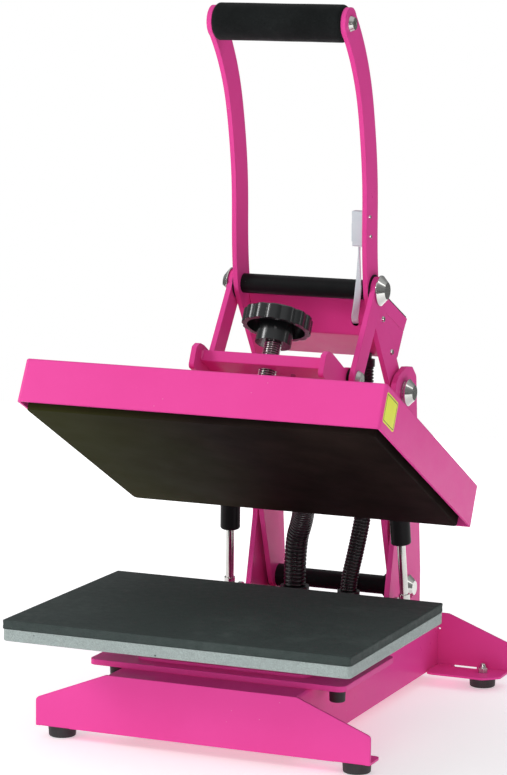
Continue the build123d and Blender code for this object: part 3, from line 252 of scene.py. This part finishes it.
def cast_aluminium():
    s = Shader("sand_cast_aluminium", Metallic=0.62, Specular_IOR_Level=0.5)
    s.bevel(0.0012)
    c = s.mix(s.ramp(s.noise(16.0, 5.0, 0.7), 0.3, 0.75), (0.46, 0.54, 0.52), (0.36, 0.43, 0.415))
    c = s.mix(s.ramp(s.noise(900.0, 2.0, 0.6), 0.35, 0.7), (0.29, 0.33, 0.32), c)
    c = s.mix(s.ramp(s.voronoi(230.0), 0.03, 0.12, 0.75, 0.0), c, (0.10, 0.115, 0.11))
    pit = s.math("MULTIPLY", s.ramp(s.voronoi(75.0), 0.05, 0.11, 1.0, 0.0), s.ramp(s.noise(14.0, 2.0), 0.50, 0.58))
    c = s.mix(pit, c, (0.035, 0.04, 0.04))
    s.color(c)
    s.rough(s.ramp(s.noise(240.0, 3.0, 0.6), 0.3, 0.75, 0.42, 0.66))
    s.bump(s.noise(900.0, 3.0, 0.65), 0.00035, 0.55)
    s.bump(s.ramp(s.voronoi(190.0), 0.0, 0.16), 0.0004, 0.5)
    s.bump(s.noise(60.0, 3.0, 0.6), 0.0008, 0.25)
    return s.mat


CAST = cast_aluminium()


def coated_plate():
    s = Shader("non_stick_coating", Coat_Weight=0.0, IOR=1.16, Specular_IOR_Level=0.06)
    s.bevel(0.0007)
    c = s.mix(s.ramp(s.noise(14.0, 5.0, 0.6), 0.35, 0.7), (0.010, 0.007, 0.006), (0.020, 0.013, 0.011))
    # painted reflection: a faint olive towards the left edge stands in for the surroundings reflected in the coating
    across = s.nt.nodes.new("ShaderNodeSeparateXYZ")
    s.link(s.coord, across.inputs[0])
    olive_reflection_mask = s.ramp(s.math("ADD", across.outputs["X"], s.math("MULTIPLY", s.noise(5.0, 3.0), 0.10)), -0.10, 0.055, 1.0, 0.0)
    # painted reflection: olive is mixed in where the mask is high, on the left
    c = s.mix(olive_reflection_mask, c, (0.030, 0.031, 0.009))
    c = s.mix(s.ramp(s.noise(900.0, 1.0), 0.72, 0.78, 0.0, 0.30), c, (0.050, 0.044, 0.036))
    s.color(c)
    s.rough(s.ramp(s.noise(22.0, 4.0, 0.6), 0.3, 0.75, 0.46, 0.58))
    s.bump(s.noise(1500.0, 2.0), 0.00004, 0.10)
    return s.mat


COATED = coated_plate()


def plastic(name, base, alt, rough, grain=0.0, coat=0.0, radius=0.0006, sheen=None):
    s = Shader(name, Coat_Weight=coat, Coat_Roughness=0.08, Specular_IOR_Level=0.5)
    s.bevel(radius)
    c = s.mix(s.ramp(s.noise(30.0, 4.0, 0.6), 0.3, 0.7), base, alt)
    # light rubbed patches on what a hand or a neighbour touches
    c = s.mix(s.ramp(s.noise(70.0, 6.0, 0.8), 0.66, 0.80, 0.0, 0.30), c, tuple(min(1.0, v * 1.6 + 0.02) for v in base))
    s.color(c)
    s.rough(s.ramp(s.noise(48.0, 5.0, 0.7), 0.3, 0.75, rough - 0.05, rough + 0.09))
    s.bump(s.noise(1400.0, 2.0), 0.00012, 0.15 + grain)
    return s.mat


GLOSS_BLACK = plastic("gloss_black_plastic", (0.007, 0.0095, 0.0095), (0.011, 0.0145, 0.0145), 0.20, 0.0, 0.35)
MATT_BLACK = plastic("matt_black_plastic", (0.009, 0.011, 0.011), (0.014, 0.017, 0.017), 0.40, 0.1)
CONDUIT = plastic("conduit_polyamide", (0.006, 0.007, 0.007), (0.010, 0.011, 0.011), 0.28, 0.05)
WHITE_PLASTIC = plastic("white_plastic", (0.70, 0.80, 0.82), (0.64, 0.74, 0.77), 0.36, 0.05, 0.05)
GREY_BUTTON = plastic("grey_button", (0.50, 0.51, 0.53), (0.44, 0.45, 0.47), 0.48, 0.2)
RED_BUTTON = plastic("red_button", (0.56, 0.022, 0.024), (0.48, 0.018, 0.020), 0.30, 0.1, 0.2)
RUBBER = plastic("moulded_rubber", (0.016, 0.016, 0.016), (0.026, 0.026, 0.026), 0.56, 0.5)
BOARD = plastic("circuit_laminate", (0.03, 0.17, 0.07), (0.02, 0.13, 0.05), 0.35, 0.1, 0.3)
FIBRE = plastic("mineral_fibre", (0.70, 0.66, 0.56), (0.60, 0.56, 0.46), 0.85, 0.8)


def glass():
    s = Shader("display_glass", Coat_Weight=0.6, Coat_Roughness=0.04)
    s.color(s.mix(s.ramp(s.noise(40.0, 3.0), 0.3, 0.7), (0.020, 0.026, 0.022), (0.030, 0.036, 0.030)))
    s.rough(s.ramp(s.noise(90.0, 4.0), 0.3, 0.75, 0.06, 0.14))
    return s.mat


GLASS = glass()


def silicone():
    """Dark grey-green silicone foam sheet: skinned top with fine open cells."""
    s = Shader("silicone_foam", Specular_IOR_Level=0.42, Sheen_Weight=0.02, Sheen_Roughness=0.5)
    s.bevel(0.0008)
    c = s.mix(s.ramp(s.noise(11.0, 5.0, 0.6), 0.3, 0.7), (0.026, 0.040, 0.037), (0.033, 0.049, 0.045))
    cells = s.ramp(s.voronoi(720.0), 0.10, 0.38)
    c = s.mix(cells, (0.012, 0.019, 0.017), c)
    c = s.mix(s.ramp(s.noise(1500.0, 1.0), 0.70, 0.78, 0.0, 0.35), c, (0.11, 0.14, 0.13))
    smudge = s.math("MULTIPLY", s.ramp(s.noise(7.0, 5.0, 0.7, distortion=0.6), 0.48, 0.72, 0.0, 0.75),
                    s.ramp(s.noise(55.0, 3.0, 0.6), 0.35, 0.75))
    c = s.mix(smudge, c, (0.075, 0.100, 0.092))
    c = s.mix(s.ramp(s.voronoi(95.0), 0.02, 0.045, 0.7, 0.0), c, (0.20, 0.23, 0.21))
    s.color(c)
    s.rough(s.ramp(s.noise(120.0, 3.0), 0.3, 0.7, 0.62, 0.82))
    s.bump(cells, 0.00025, 0.35)
    s.bump(s.noise(30.0, 2.0), 0.0005, 0.05)
    return s.mat


SILICONE = silicone()


def foam():
    """Closed-cell black foam sleeve with small open pores and rub marks."""
    s = Shader("grip_foam", Specular_IOR_Level=0.05, Sheen_Weight=0.04, Sheen_Roughness=0.45)
    c = s.mix(s.ramp(s.noise(18.0, 5.0, 0.7), 0.35, 0.7), (0.0075, 0.0090, 0.0090), (0.014, 0.0165, 0.0165))
    pores = s.ramp(s.voronoi(880.0), 0.12, 0.42)
    c = s.mix(pores, (0.003, 0.003, 0.003), c)
    c = s.mix(s.ramp(s.noise(1300.0, 1.0), 0.68, 0.78, 0.0, 0.35), c, (0.09, 0.09, 0.09))
    s.color(c)
    s.rough(s.ramp(s.noise(90.0, 3.0), 0.3, 0.7, 0.50, 0.72))
    s.bump(pores, 0.0004, 0.5)
    s.bump(s.noise(80.0, 3.0), 0.0010, 0.25)
    return s.mat


FOAM = foam()


def label_stock():
    s = Shader("yellow_label", Coat_Weight=0.3, Coat_Roughness=0.25)
    s.color(s.mix(s.ramp(s.noise(60.0, 3.0), 0.3, 0.7), (0.90, 0.95, 0.002), (0.84, 0.88, 0.002)))
    s.rough(s.ramp(s.noise(80.0, 3.0), 0.3, 0.7, 0.34, 0.46))
    s.bump(s.noise(500.0, 2.0), 0.00008, 0.3)
    return s.mat


def label_ink():
    s = Shader("label_ink", Coat_Weight=0.3, Coat_Roughness=0.25)
    s.color(s.mix(s.ramp(s.noise(200.0, 3.0), 0.4, 0.8), (0.012, 0.012, 0.012), (0.05, 0.045, 0.01)))
    s.rough(s.ramp(s.noise(80.0, 3.0), 0.3, 0.7, 0.38, 0.5))
    return s.mat


LABEL, INK = label_stock(), label_ink()


def weld_paint():
    """Paint over a weld bead: pink, lumpier and a touch darker."""
    s = Shader("painted_weld", Coat_Weight=0.35, Coat_Roughness=0.15)
    s.color(s.mix(s.ramp(s.noise(120.0, 4.0), 0.3, 0.7), (0.78, 0.068, 0.335), (0.86, 0.085, 0.385)))
    s.rough(s.ramp(s.noise(200.0, 3.0), 0.3, 0.7, 0.28, 0.44))
    s.bump(s.noise(420.0, 3.0), 0.0004, 0.5)
    return s.mat


WELD = weld_paint()

BY_SLOT = {
    "pink_paint": PINK, "bare_aluminium": CAST, "machined_aluminium": MACHINED, "coated_plate": COATED,
    "bright_steel": CHROME, "zinc_steel": ZINC, "black_steel": BLACK_PAINT, "grey_steel": ZINC, "brass": BRASS,
    "silicone": SILICONE, "foam": FOAM, "black_rubber": RUBBER, "black_plastic": GLOSS_BLACK,
    "conduit_plastic": CONDUIT, "white_plastic": WHITE_PLASTIC, "grey_button": GREY_BUTTON,
    "red_button": RED_BUTTON, "display_glass": GLASS, "board_green": BOARD, "fibre_board": FIBRE,
}
SLOT_OF = {p["node"]: p["material_slot"] for p in frame["record"]["subparts"]}


def smooth(obj, angle=32.0):
    """Smooth shading that keeps the real edges sharp."""
    if obj.data.has_custom_normals:
        return
    for p in obj.data.polygons:
        p.use_smooth = True
    obj.data.set_sharp_from_angle(angle=math.radians(angle))


for name, obj in NODES.items():
    mat = BY_SLOT[SLOT_OF[name]]
    if name in ("control_gland", "platen_gland", "base_glands", "mains_inlet", "switch_frame"):
        mat = MATT_BLACK
    if obj.data.materials:
        for i in range(len(obj.data.materials)):
            obj.data.materials[i] = mat
    else:
        obj.data.materials.append(mat)
    smooth(obj)


# ------------------------------------------------------------- mesh helpers
def add_mesh(name, verts, faces, mat, body, is_smooth=True, angle=None):
    me = bpy.data.meshes.new(name)
    me.from_pydata([tuple(v) for v in verts], [], faces)
    me.validate()
    me.update()
    o = bpy.data.objects.new(name, me)
    scene.collection.objects.link(o)
    me.materials.append(mat)
    for p in me.polygons:
        p.use_smooth = is_smooth
    if angle is not None:
        me.set_sharp_from_angle(angle=math.radians(angle))
    if body:
        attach(o, body)
    return o


def lathe(rows, origin, axis, side, seg, wobble=None):
    """Closed surface of revolution: rows of (distance along axis, radius)."""
    axis = axis.normalized()
    e1 = (side - axis * side.dot(axis)).normalized()
    e2 = axis.cross(e1)
    verts, faces = [], []
    for i, (t, r) in enumerate(rows):
        for k in range(seg):
            a = 2 * math.pi * k / seg
            rr = r + (wobble(t, a) if wobble else 0.0)
            verts.append(origin + axis * t + (e1 * math.cos(a) + e2 * math.sin(a)) * rr)
    for i in range(len(rows) - 1):
        for k in range(seg):
            a, b = i * seg + k, i * seg + (k + 1) % seg
            faces.append((a, b, b + seg, a + seg))
    return verts, faces


# --------------------------------------------------------------- foam grip
lo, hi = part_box("foam_grip")
core_lo, core_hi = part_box("grip_core")
mid = (lo + hi) / 2
half, R = (hi.x - lo.x) / 2, (hi.z - lo.z) / 2
r_in = 0.01256
rows = [(-half + 0.0004, r_in), (-half + 0.0001, r_in + 0.0015)]
rows += [(-half + 0.0000 + 0.0001 * 0, R - 0.0042)]
for a in range(0, 91, 10):
    t = math.radians(a)
    rows.append((-half + 0.0036 * (1 - math.cos(t)), R - 0.0036 + 0.0036 * math.sin(t)))
n = 96
for i in range(1, n):
    rows.append((-half + 0.0036 + (2 * half - 0.0072) * i / n, R))
for a in range(90, -1, -10):
    t = math.radians(a)
    rows.append((half - 0.0036 * (1 - math.cos(t)), R - 0.0036 + 0.0036 * math.sin(t)))
rows += [(half, R - 0.0042), (half - 0.0001, r_in + 0.0015), (half - 0.0004, r_in)]


def grip_wobble(t, a):
    p = Vector((t * 30.0, math.cos(a) * 1.4, math.sin(a) * 1.4))
    return -0.00032 * (0.5 + 0.5 * noise.noise(p)) - 0.00010 * abs(noise.noise(p * 6.0))


verts, faces = lathe(rows, mid, Vector((1, 0, 0)), Vector((0, 0, 1)), 112,
                     lambda t, a: grip_wobble(t, a) if abs(t) < half - 0.001 else 0.0)
nrow = len(rows)
for k in range(112):   # close the sleeve through its bore
    a, b = (nrow - 1) * 112 + k, (nrow - 1) * 112 + (k + 1) % 112
    faces.append((a, b, (k + 1) % 112, k))
grip = add_mesh("foam_grip_sleeve", verts, faces, FOAM, "handle")
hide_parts("foam_grip")


# ------------------------------------------------------------ silicone pad
def rounded_loop(x0, x1, y0, y1, r, per=10):
    pts = []
    for cx, cy, a0 in ((x1 - r, y1 - r, 0), (x0 + r, y1 - r, 90), (x0 + r, y0 + r, 180), (x1 - r, y0 + r, 270)):
        for i in range(per + 1):
            a = math.radians(a0 + 90.0 * i / per)
            pts.append((cx + r * math.cos(a), cy + r * math.sin(a)))
    return pts


def densify(loop, step):
    out = []
    for i, p in enumerate(loop):
        q = loop[(i + 1) % len(loop)]
        d = math.dist(p, q)
        k = max(1, int(d / step))
        for j in range(k):
            out.append((p[0] + (q[0] - p[0]) * j / k, p[1] + (q[1] - p[1]) * j / k))
    return out


lo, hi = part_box("silicone_pad")
T = hi.z - lo.z
outer = densify(rounded_loop(lo.x, hi.x, lo.y, hi.y, 0.0024), 0.006)
cx, cy = (lo.x + hi.x) / 2, (lo.y + hi.y) / 2


def inset(loop, d):
    """The same loop drawn in by d."""
    out = []
    n = len(loop)
    for i, p in enumerate(loop):
        a, b = loop[i - 1], loop[(i + 1) % n]
        tx, ty = b[0] - a[0], b[1] - a[1]
        L = math.hypot(tx, ty) or 1.0
        out.append((p[0] - ty / L * d * -1 * -1, p[1] + tx / L * d))
    return out


verts, faces = [], []
profile = [(0.0009, 0.0), (0.00012, 0.0006), (0.0002, 0.0022), (0.0004, T * 0.5), (0.0002, T - 0.0022),
           (0.0, T - 0.0012), (0.0003, T - 0.00045), (0.0009, T - 0.00008), (0.0022, T)]
count = len(outer)
for d, z in profile:
    for i, (x, y) in enumerate(inset(outer, d)):
        w = noise.noise(Vector((x * 22, y * 22, z * 60)))
        k = 0.00022 * w if 0.0 < z < T - 0.0001 else 0.0
        nx, ny = x - cx, y - cy
        L = math.hypot(nx, ny)
        verts.append((x - nx / L * abs(k), y - ny / L * abs(k), lo.z + z))
for r in range(len(profile) - 1):
    for i in range(count):
        a, b = r * count + i, r * count + (i + 1) % count
        faces.append((a, b, b + count, a + count))
faces.append(tuple(reversed(range(count))))
faces.append(tuple(range((len(profile) - 1) * count, len(profile) * count)))
pad = add_mesh("silicone_pad_sheet", verts, faces, SILICONE, "base", True, 50)
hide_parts("silicone_pad")


# --------------------------------------------------- threaded spindle
SPIN_U = 163.0
n0, n1, PITCH_T = 64.0, 135.8, 2.5
RS = 9.5
foot = heat_pt(0, SPIN_U, 0)
seg = 64
rows_n = []
verts, faces = [], []


def thread_r(nn, a):
    ph = ((nn / PITCH_T) - a / (2 * math.pi)) % 1.0
    tri = abs(ph - 0.5) * 2.0
    v = min(1.0, max(0.0, (tri - 0.12) / 0.76))
    return RS - 0.06 - 1.35 * v


e1, e2 = Vector((1, 0, 0)), HEAT_N.cross(Vector((1, 0, 0)))
steps = int((n1 - 70.0) / PITCH_T * 10)
levels = [(51.0, 9.0, 0), (55.0, 9.0, 0), (55.0, 6.5, 0), (64.0, 6.5, 0), (64.0, 8.6, 0), (64.8, 9.4, 0), (69.4, 9.4, 0)]
for i in range(steps + 1):
    levels.append((70.0 + (n1 - 70.0) * i / steps, RS, 1))
levels += [(n1, 7.0, 0), (n1 + 29.8, 7.0, 0)]
for nn, rr, threaded in levels:
    for k in range(seg):
        a = 2 * math.pi * k / seg
        r = thread_r(nn, a) if threaded else rr
        verts.append(foot + HEAT_N * (nn / 1000) + (e1 * math.cos(a) + e2 * math.sin(a)) * (r / 1000))
for i in range(len(levels) - 1):
    for k in range(seg):
        a, b = i * seg + k, i * seg + (k + 1) % seg
        faces.append((a, b, b + seg, a + seg))
faces.append(tuple(reversed(range(seg))))
faces.append(tuple(range((len(levels) - 1) * seg, len(levels) * seg)))
spindle = add_mesh("threaded_spindle", verts, faces, THREAD, "spindle", True, 46)
# the faces deep in the thread's grooves take a darker, rougher metal
spindle.data.materials.append(GROOVE_METAL)
for p in spindle.data.polygons:
    row, col = divmod(p.index, seg)
    if row + 1 < len(levels) and levels[row][2] and levels[row + 1][2]:
        a = 2 * math.pi * (col + 0.5) / seg
        if thread_r((levels[row][0] + levels[row + 1][0]) / 2, a) < RS - 0.80:
            p.material_index = 1
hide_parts("pressure_spindle")


# ---------------------------------------------------------- conduits
def nurbs_points(points, samples=18):
    """Points read off the smooth spline that has the route's points as its controls."""
    cu = bpy.data.curves.new("route", "CURVE")
    cu.dimensions = "3D"
    sp = cu.splines.new("NURBS")
    sp.points.add(len(points) - 1)
    for p, q in zip(sp.points, points):
        p.co = (*q, 1.0)
    sp.order_u = 3
    sp.use_endpoint_u = True
    sp.resolution_u = samples
    o = bpy.data.objects.new("route", cu)
    scene.collection.objects.link(o)
    bpy.context.view_layer.update()
    me = bpy.data.meshes.new_from_object(o.evaluated_get(bpy.context.evaluated_depsgraph_get()))
    pts = [v.co.copy() for v in me.vertices]
    bpy.data.objects.remove(o)
    bpy.data.meshes.remove(me)
    return pts


def even(pts, step):
    """Resample a polyline at even steps."""
    d = [0.0]
    for a, b in zip(pts, pts[1:]):
        d.append(d[-1] + (b - a).length)
    total = d[-1]
    n = max(2, int(round(total / step)))
    out, j = [], 0
    for i in range(n + 1):
        t = total * i / n
        while j < len(pts) - 2 and d[j + 1] < t:
            j += 1
        f = (t - d[j]) / max(1e-9, d[j + 1] - d[j])
        out.append(pts[j].lerp(pts[j + 1], min(1.0, max(0.0, f))))
    return out, total


def sweep(pts, radii, seg, ref):
    """Tube through the points with a radius at each, on a frame carried along the path."""
    verts, faces = [], []
    prev = ref
    for i, p in enumerate(pts):
        t = (pts[min(i + 1, len(pts) - 1)] - pts[max(i - 1, 0)]).normalized()
        e1 = (prev - t * prev.dot(t)).normalized()
        prev = e1
        e2 = t.cross(e1)
        for k in range(seg):
            a = 2 * math.pi * k / seg
            verts.append(p + (e1 * math.cos(a) + e2 * math.sin(a)) * radii[i])
    for i in range(len(pts) - 1):
        for k in range(seg):
            a, b = i * seg + k, i * seg + (k + 1) % seg
            faces.append((a, b, b + seg, a + seg))
    faces.append(tuple(reversed(range(seg))))
    faces.append(tuple(range((len(pts) - 1) * seg, len(pts) * seg)))
    return verts, faces


def corrugated(name, route, radius, pitch, depth, node):
    pts = nurbs_points(route)
    line, total = even(pts, pitch / 10.0)
    turns = round(total / pitch)
    radii = []
    for i in range(len(line)):
        ph = (i / (len(line) - 1) * turns) % 1.0
        c = abs(ph - 0.5) * 2.0           # 1 in the groove, 0 on the crest
        crest = 1.0 - max(0.0, (c - 0.42) / 0.58) ** 1.6 if c > 0.42 else 1.0
        radii.append(radius - depth * (1.0 - crest) - 0.00012 * (c ** 2) * (c < 0.42))
    verts, faces = sweep(line, radii, 56, Vector((1, 0, 0)))
    o = add_mesh(name, verts, faces, CONDUIT, None, True)
    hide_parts(node)
    return o, line


pg = heat_pt(-8.0, 324.9 + 13.6, 19.3)
left_route = [mm(-31.0, 151, 113), mm(-31.0, 151, 161.7), mm(-18.0, 139.7, 191.2), mm(-8.0, 118.6, 214.6), pg]
left_hose, left_line = corrugated("platen_hose", left_route, 0.0125, 0.0047, 0.0022, "platen_conduit")
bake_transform(left_hose)

GC = (376.0, 405.0 + (376.0 - 322.0) * (372.5 - 405.0) / (388.0 - 322.0))
right_route = [mm(34.0, 151, 113), mm(34.0, 151, 124), mm(41.6, 151, 157), mm(50.2, 151.5, 202), mm(53.0, 155, 248),
               mm(49.8, 162, 292), mm(43.2, 171, 326), mm(39.5, GC[0] - 199, 346), mm(39.5, GC[0] - 199, GC[1] - 15.2)]
right_hose, right_line = corrugated("control_hose", right_route, 0.0094, 0.0037, 0.0017, "control_conduit")
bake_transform(right_hose)


# --------------------------------------------------------------- weld beads
def bead(name, path, radius, body, closed=False, lump=0.28, mat=WELD):
    """A hand-laid fillet weld: overlapping ripples along a path."""
    pts = []
    for a, b in zip(path, path[1:]):
        k = max(2, int((b - a).length / 0.0007))
        pts += [a.lerp(b, i / k) for i in range(k)]
    pts.append(path[-1])
    radii = []
    rng = random.Random(sum(ord(ch) for ch in name))
    off = rng.random() * 50
    for i, p in enumerate(pts):
        ripple = 0.5 + 0.5 * math.cos(i * 0.7 / 1.6 * 2 * math.pi / 1.1)
        w = noise.noise(Vector((i * 0.11 + off, 0.0, 0.0)))
        end = min(1.0, (i + 1) / 5.0, (len(pts) - i) / 5.0)
        radii.append(radius * (0.82 + lump * 0.5 * ripple + 0.22 * w) * math.sqrt(end))
    verts, faces = sweep(pts, radii, 14, Vector((0.31, 0.52, 0.79)))
    return add_mesh(name, verts, faces, mat, body, True)


for side in (-1, 1):
    # fillet welds that hold the cross bar between the carrier plates
    for i, (u0, n0, u1, n1) in enumerate(((145.0, 118.3, 181.0, 118.3), (144.0, 106.8, 144.0, 117.6))):
        bead("bar_weld_%s_%d" % ("r" if side > 0 else "l", i),
             [heat_pt(side * 69.9, u0, n0), heat_pt(side * 69.9, (u0 + u1) / 2, (n0 + n1) / 2), heat_pt(side * 69.9, u1, n1)],
             0.0021, "carrier")


# ----------------------------------------------------------- ribbon lead
def ribbon(name, route, thick, node):
    """Flat moulded lead: narrow at the sensor, turning to show its full width lower down."""
    line, total = even(nurbs_points([mm(*p) for p in route]), 0.0012)
    verts, faces = [], []
    seg = 16
    for i, p in enumerate(line):
        t = i / (len(line) - 1)
        w = 0.0012 + (0.0038 - 0.0012) * min(1.0, max(0.0, (t - 0.06) / 0.34))
        ang = math.radians(-18 + 30 * t)
        tan = (line[min(i + 1, len(line) - 1)] - line[max(i - 1, 0)]).normalized()
        wide = Vector((math.cos(ang), math.sin(ang), 0.0))
        wide = (wide - tan * wide.dot(tan)).normalized()
        thin = tan.cross(wide)
        for k in range(seg):
            a = 2 * math.pi * k / seg
            ca, sa = math.cos(a), math.sin(a)
            ex = math.copysign(abs(ca) ** 0.55, ca) * w
            ey = math.copysign(abs(sa) ** 0.8, sa) * thick
            verts.append(p + wide * ex + thin * ey)
    n = len(line)
    for i in range(n - 1):
        for k in range(seg):
            a, b = i * seg + k, i * seg + (k + 1) % seg
            faces.append((a, b, b + seg, a + seg))
    faces.append(tuple(reversed(range(seg))))
    faces.append(tuple(range((n - 1) * seg, n * seg)))
    o = add_mesh(name, verts, faces, WHITE_PLASTIC, "handle", True)
    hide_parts(node)
    return o


ribbon("sensor_ribbon", [(67.0, 78.5, 506.4), (67.5, 77.0, 488.0), (67.8, 76.0, 462.0), (63.0, 83.0, 440.0),
                         (54.0, 101.0, 424.0), (49.0, 120.0, 419.0)], 0.0011, "sensor_lead")

# ------------------------------------------------------------- side label
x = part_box("platen_cover")[1].x
lw, lh = 35.0, 31.0
u_mid, n_mid = 21.5, 24.5


def patch(name, u0, u1, v0, v1, lift, mat, r=3.0, body="heat_platen"):
    loop = rounded_loop(u0, u1, v0, v1, r, 6)
    verts = []
    for t in (0.0, lift):
        for (u, nn) in loop:
            p = heat_pt(0, u, nn)
            verts.append(Vector((x + t, p.y, p.z)))
    k = len(loop)
    faces = [tuple(range(k, 2 * k)), tuple(reversed(range(k)))]
    for i in range(k):
        j = (i + 1) % k
        faces.append((i, j, j + k, i + k))
    return add_mesh(name, verts, faces, mat, body, False)


label = patch("side_label", u_mid - lw / 2, u_mid + lw / 2, n_mid - lh / 2, n_mid + lh / 2, 0.00010, LABEL)


def frame_strip(name, u0, u1, v0, v1, width, lift):
    """Thin printed border line inside the label's edge."""
    outer = rounded_loop(u0, u1, v0, v1, 1.0, 6)
    inner = rounded_loop(u0 + width, u1 - width, v0 + width, v1 - width, 0.7, 6)
    verts = []
    for loop in (outer, inner):
        for (u, nn) in loop:
            p = heat_pt(0, u, nn)
            verts.append(Vector((x + lift, p.y, p.z)))
    k = len(outer)
    faces = [(i, (i + 1) % k, k + (i + 1) % k, k + i) for i in range(k)]
    return add_mesh(name, verts, faces, INK, "heat_platen", False)


frame_strip("label_border", u_mid - lw / 2 + 1.6, u_mid + lw / 2 - 1.6, n_mid - lh / 2 + 1.6, n_mid + lh / 2 - 1.6, 0.9, 0.00012)

# ---------------------------------------------------------------- studio
floor_me = bpy.data.meshes.new("floor")
k = 60
size = 1.9
vs, fs = [], []
for j in range(k + 1):
    for i in range(k + 1):
        vs.append(((i / k - 0.5) * 2 * size, (j / k - 0.5) * 2 * size, 0.0))
for j in range(k):
    for i in range(k):
        a = j * (k + 1) + i
        fs.append((a, a + 1, a + k + 2, a + k + 1))
floor_me.from_pydata(vs, [], fs)
floor = bpy.data.objects.new("floor", floor_me)
scene.collection.objects.link(floor)
fs_ = Shader("studio_floor", Specular_IOR_Level=0.2)
fs_.color(fs_.mix(fs_.ramp(fs_.noise(1.6, 3.0), 0.3, 0.7), (0.90, 0.90, 0.90), (0.88, 0.88, 0.88)))
fs_.rough(fs_.ramp(fs_.noise(3.0, 2.0), 0.3, 0.7, 0.72, 0.80))
fs_.b.inputs["Emission Color"].default_value = (1.0, 1.0, 1.0, 1.0)
ft = fs_.mat.node_tree
geo = ft.nodes.new("ShaderNodeTexCoord")
ln = ft.nodes.new("ShaderNodeVectorMath")
ln.operation = "LENGTH"
ft.links.new(geo.outputs["Object"], ln.inputs[0])
mr = ft.nodes.new("ShaderNodeMapRange")
mr.inputs["From Min"].default_value = 0.45
mr.inputs["From Max"].default_value = 1.5
mr.inputs["To Min"].default_value = 0.42
mr.inputs["To Max"].default_value = 0.90
ft.links.new(ln.outputs["Value"], mr.inputs["Value"])
ft.links.new(mr.outputs["Result"], fs_.b.inputs["Emission Strength"])
floor_me.materials.append(fs_.mat)
floor.location.z = -0.0004

world = bpy.data.worlds.new("studio")
world.use_nodes = True
scene.world = world
wn = world.node_tree
bg = wn.nodes["Background"]
bg.inputs[0].default_value = (1.0, 1.0, 1.0, 1.0)
bg.inputs[1].default_value = 1.0
# a soft dome for the object: bright overhead and near the horizon, dimmer between them
tc = wn.nodes.new("ShaderNodeTexCoord")
sx = wn.nodes.new("ShaderNodeSeparateXYZ")
wn.links.new(tc.outputs["Generated"], sx.inputs[0])
rp = wn.nodes.new("ShaderNodeValToRGB")
rp.color_ramp.elements[0].position = 0.0
rp.color_ramp.elements[0].color = (0.16, 0.16, 0.16, 1.0)
rp.color_ramp.elements[1].position = 1.0
rp.color_ramp.elements[1].color = (0.78, 0.78, 0.80, 1.0)
for pos, v in ((0.10, 0.26), (0.30, 0.24), (0.52, 0.34), (0.72, 0.66)):
    e = rp.color_ramp.elements.new(pos)
    e.color = (v, v, v * 1.02, 1.0)
wn.links.new(sx.outputs["Z"], rp.inputs[0])
dome = wn.nodes.new("ShaderNodeBackground")
wn.links.new(rp.outputs[0], dome.inputs[0])
dome.inputs[1].default_value = 0.95
lp = wn.nodes.new("ShaderNodeLightPath")
mxs = wn.nodes.new("ShaderNodeMixShader")
wn.links.new(lp.outputs["Is Camera Ray"], mxs.inputs[0])
wn.links.new(dome.outputs[0], mxs.inputs[1])
wn.links.new(bg.outputs[0], mxs.inputs[2])
wn.links.new(mxs.outputs[0], wn.nodes["World Output"].inputs[0])


def area(name, loc, target, sx, sy, power, color=(1, 1, 1)):
    l = bpy.data.lights.new(name, "AREA")
    l.shape = "RECTANGLE"
    l.size, l.size_y = sx, sy
    l.energy = power
    l.color = color
    o = bpy.data.objects.new(name, l)
    scene.collection.objects.link(o)
    d = Vector(target) - Vector(loc)
    o.matrix_world = Matrix.Translation(Vector(loc)) @ d.to_track_quat("-Z", "Y").to_matrix().to_4x4()
    return o


area("key", (-2.5, -1.7, 1.9), (0, 0, 0.40), 1.3, 1.1, 49.0)
area("front_fill", (-0.3, -3.0, 0.55), (0, 0, 0.15), 1.2, 0.8, 2.5)
area("side_fill", (0.9, -3.0, 0.6), (0.15, 0.2, 0.1), 0.8, 0.9, 15.0)
area("rim_right", (2.2, 0.5, 1.7), (0, 0, 0.4), 0.4, 1.6, 3.0)

bpy.context.view_layer.update()
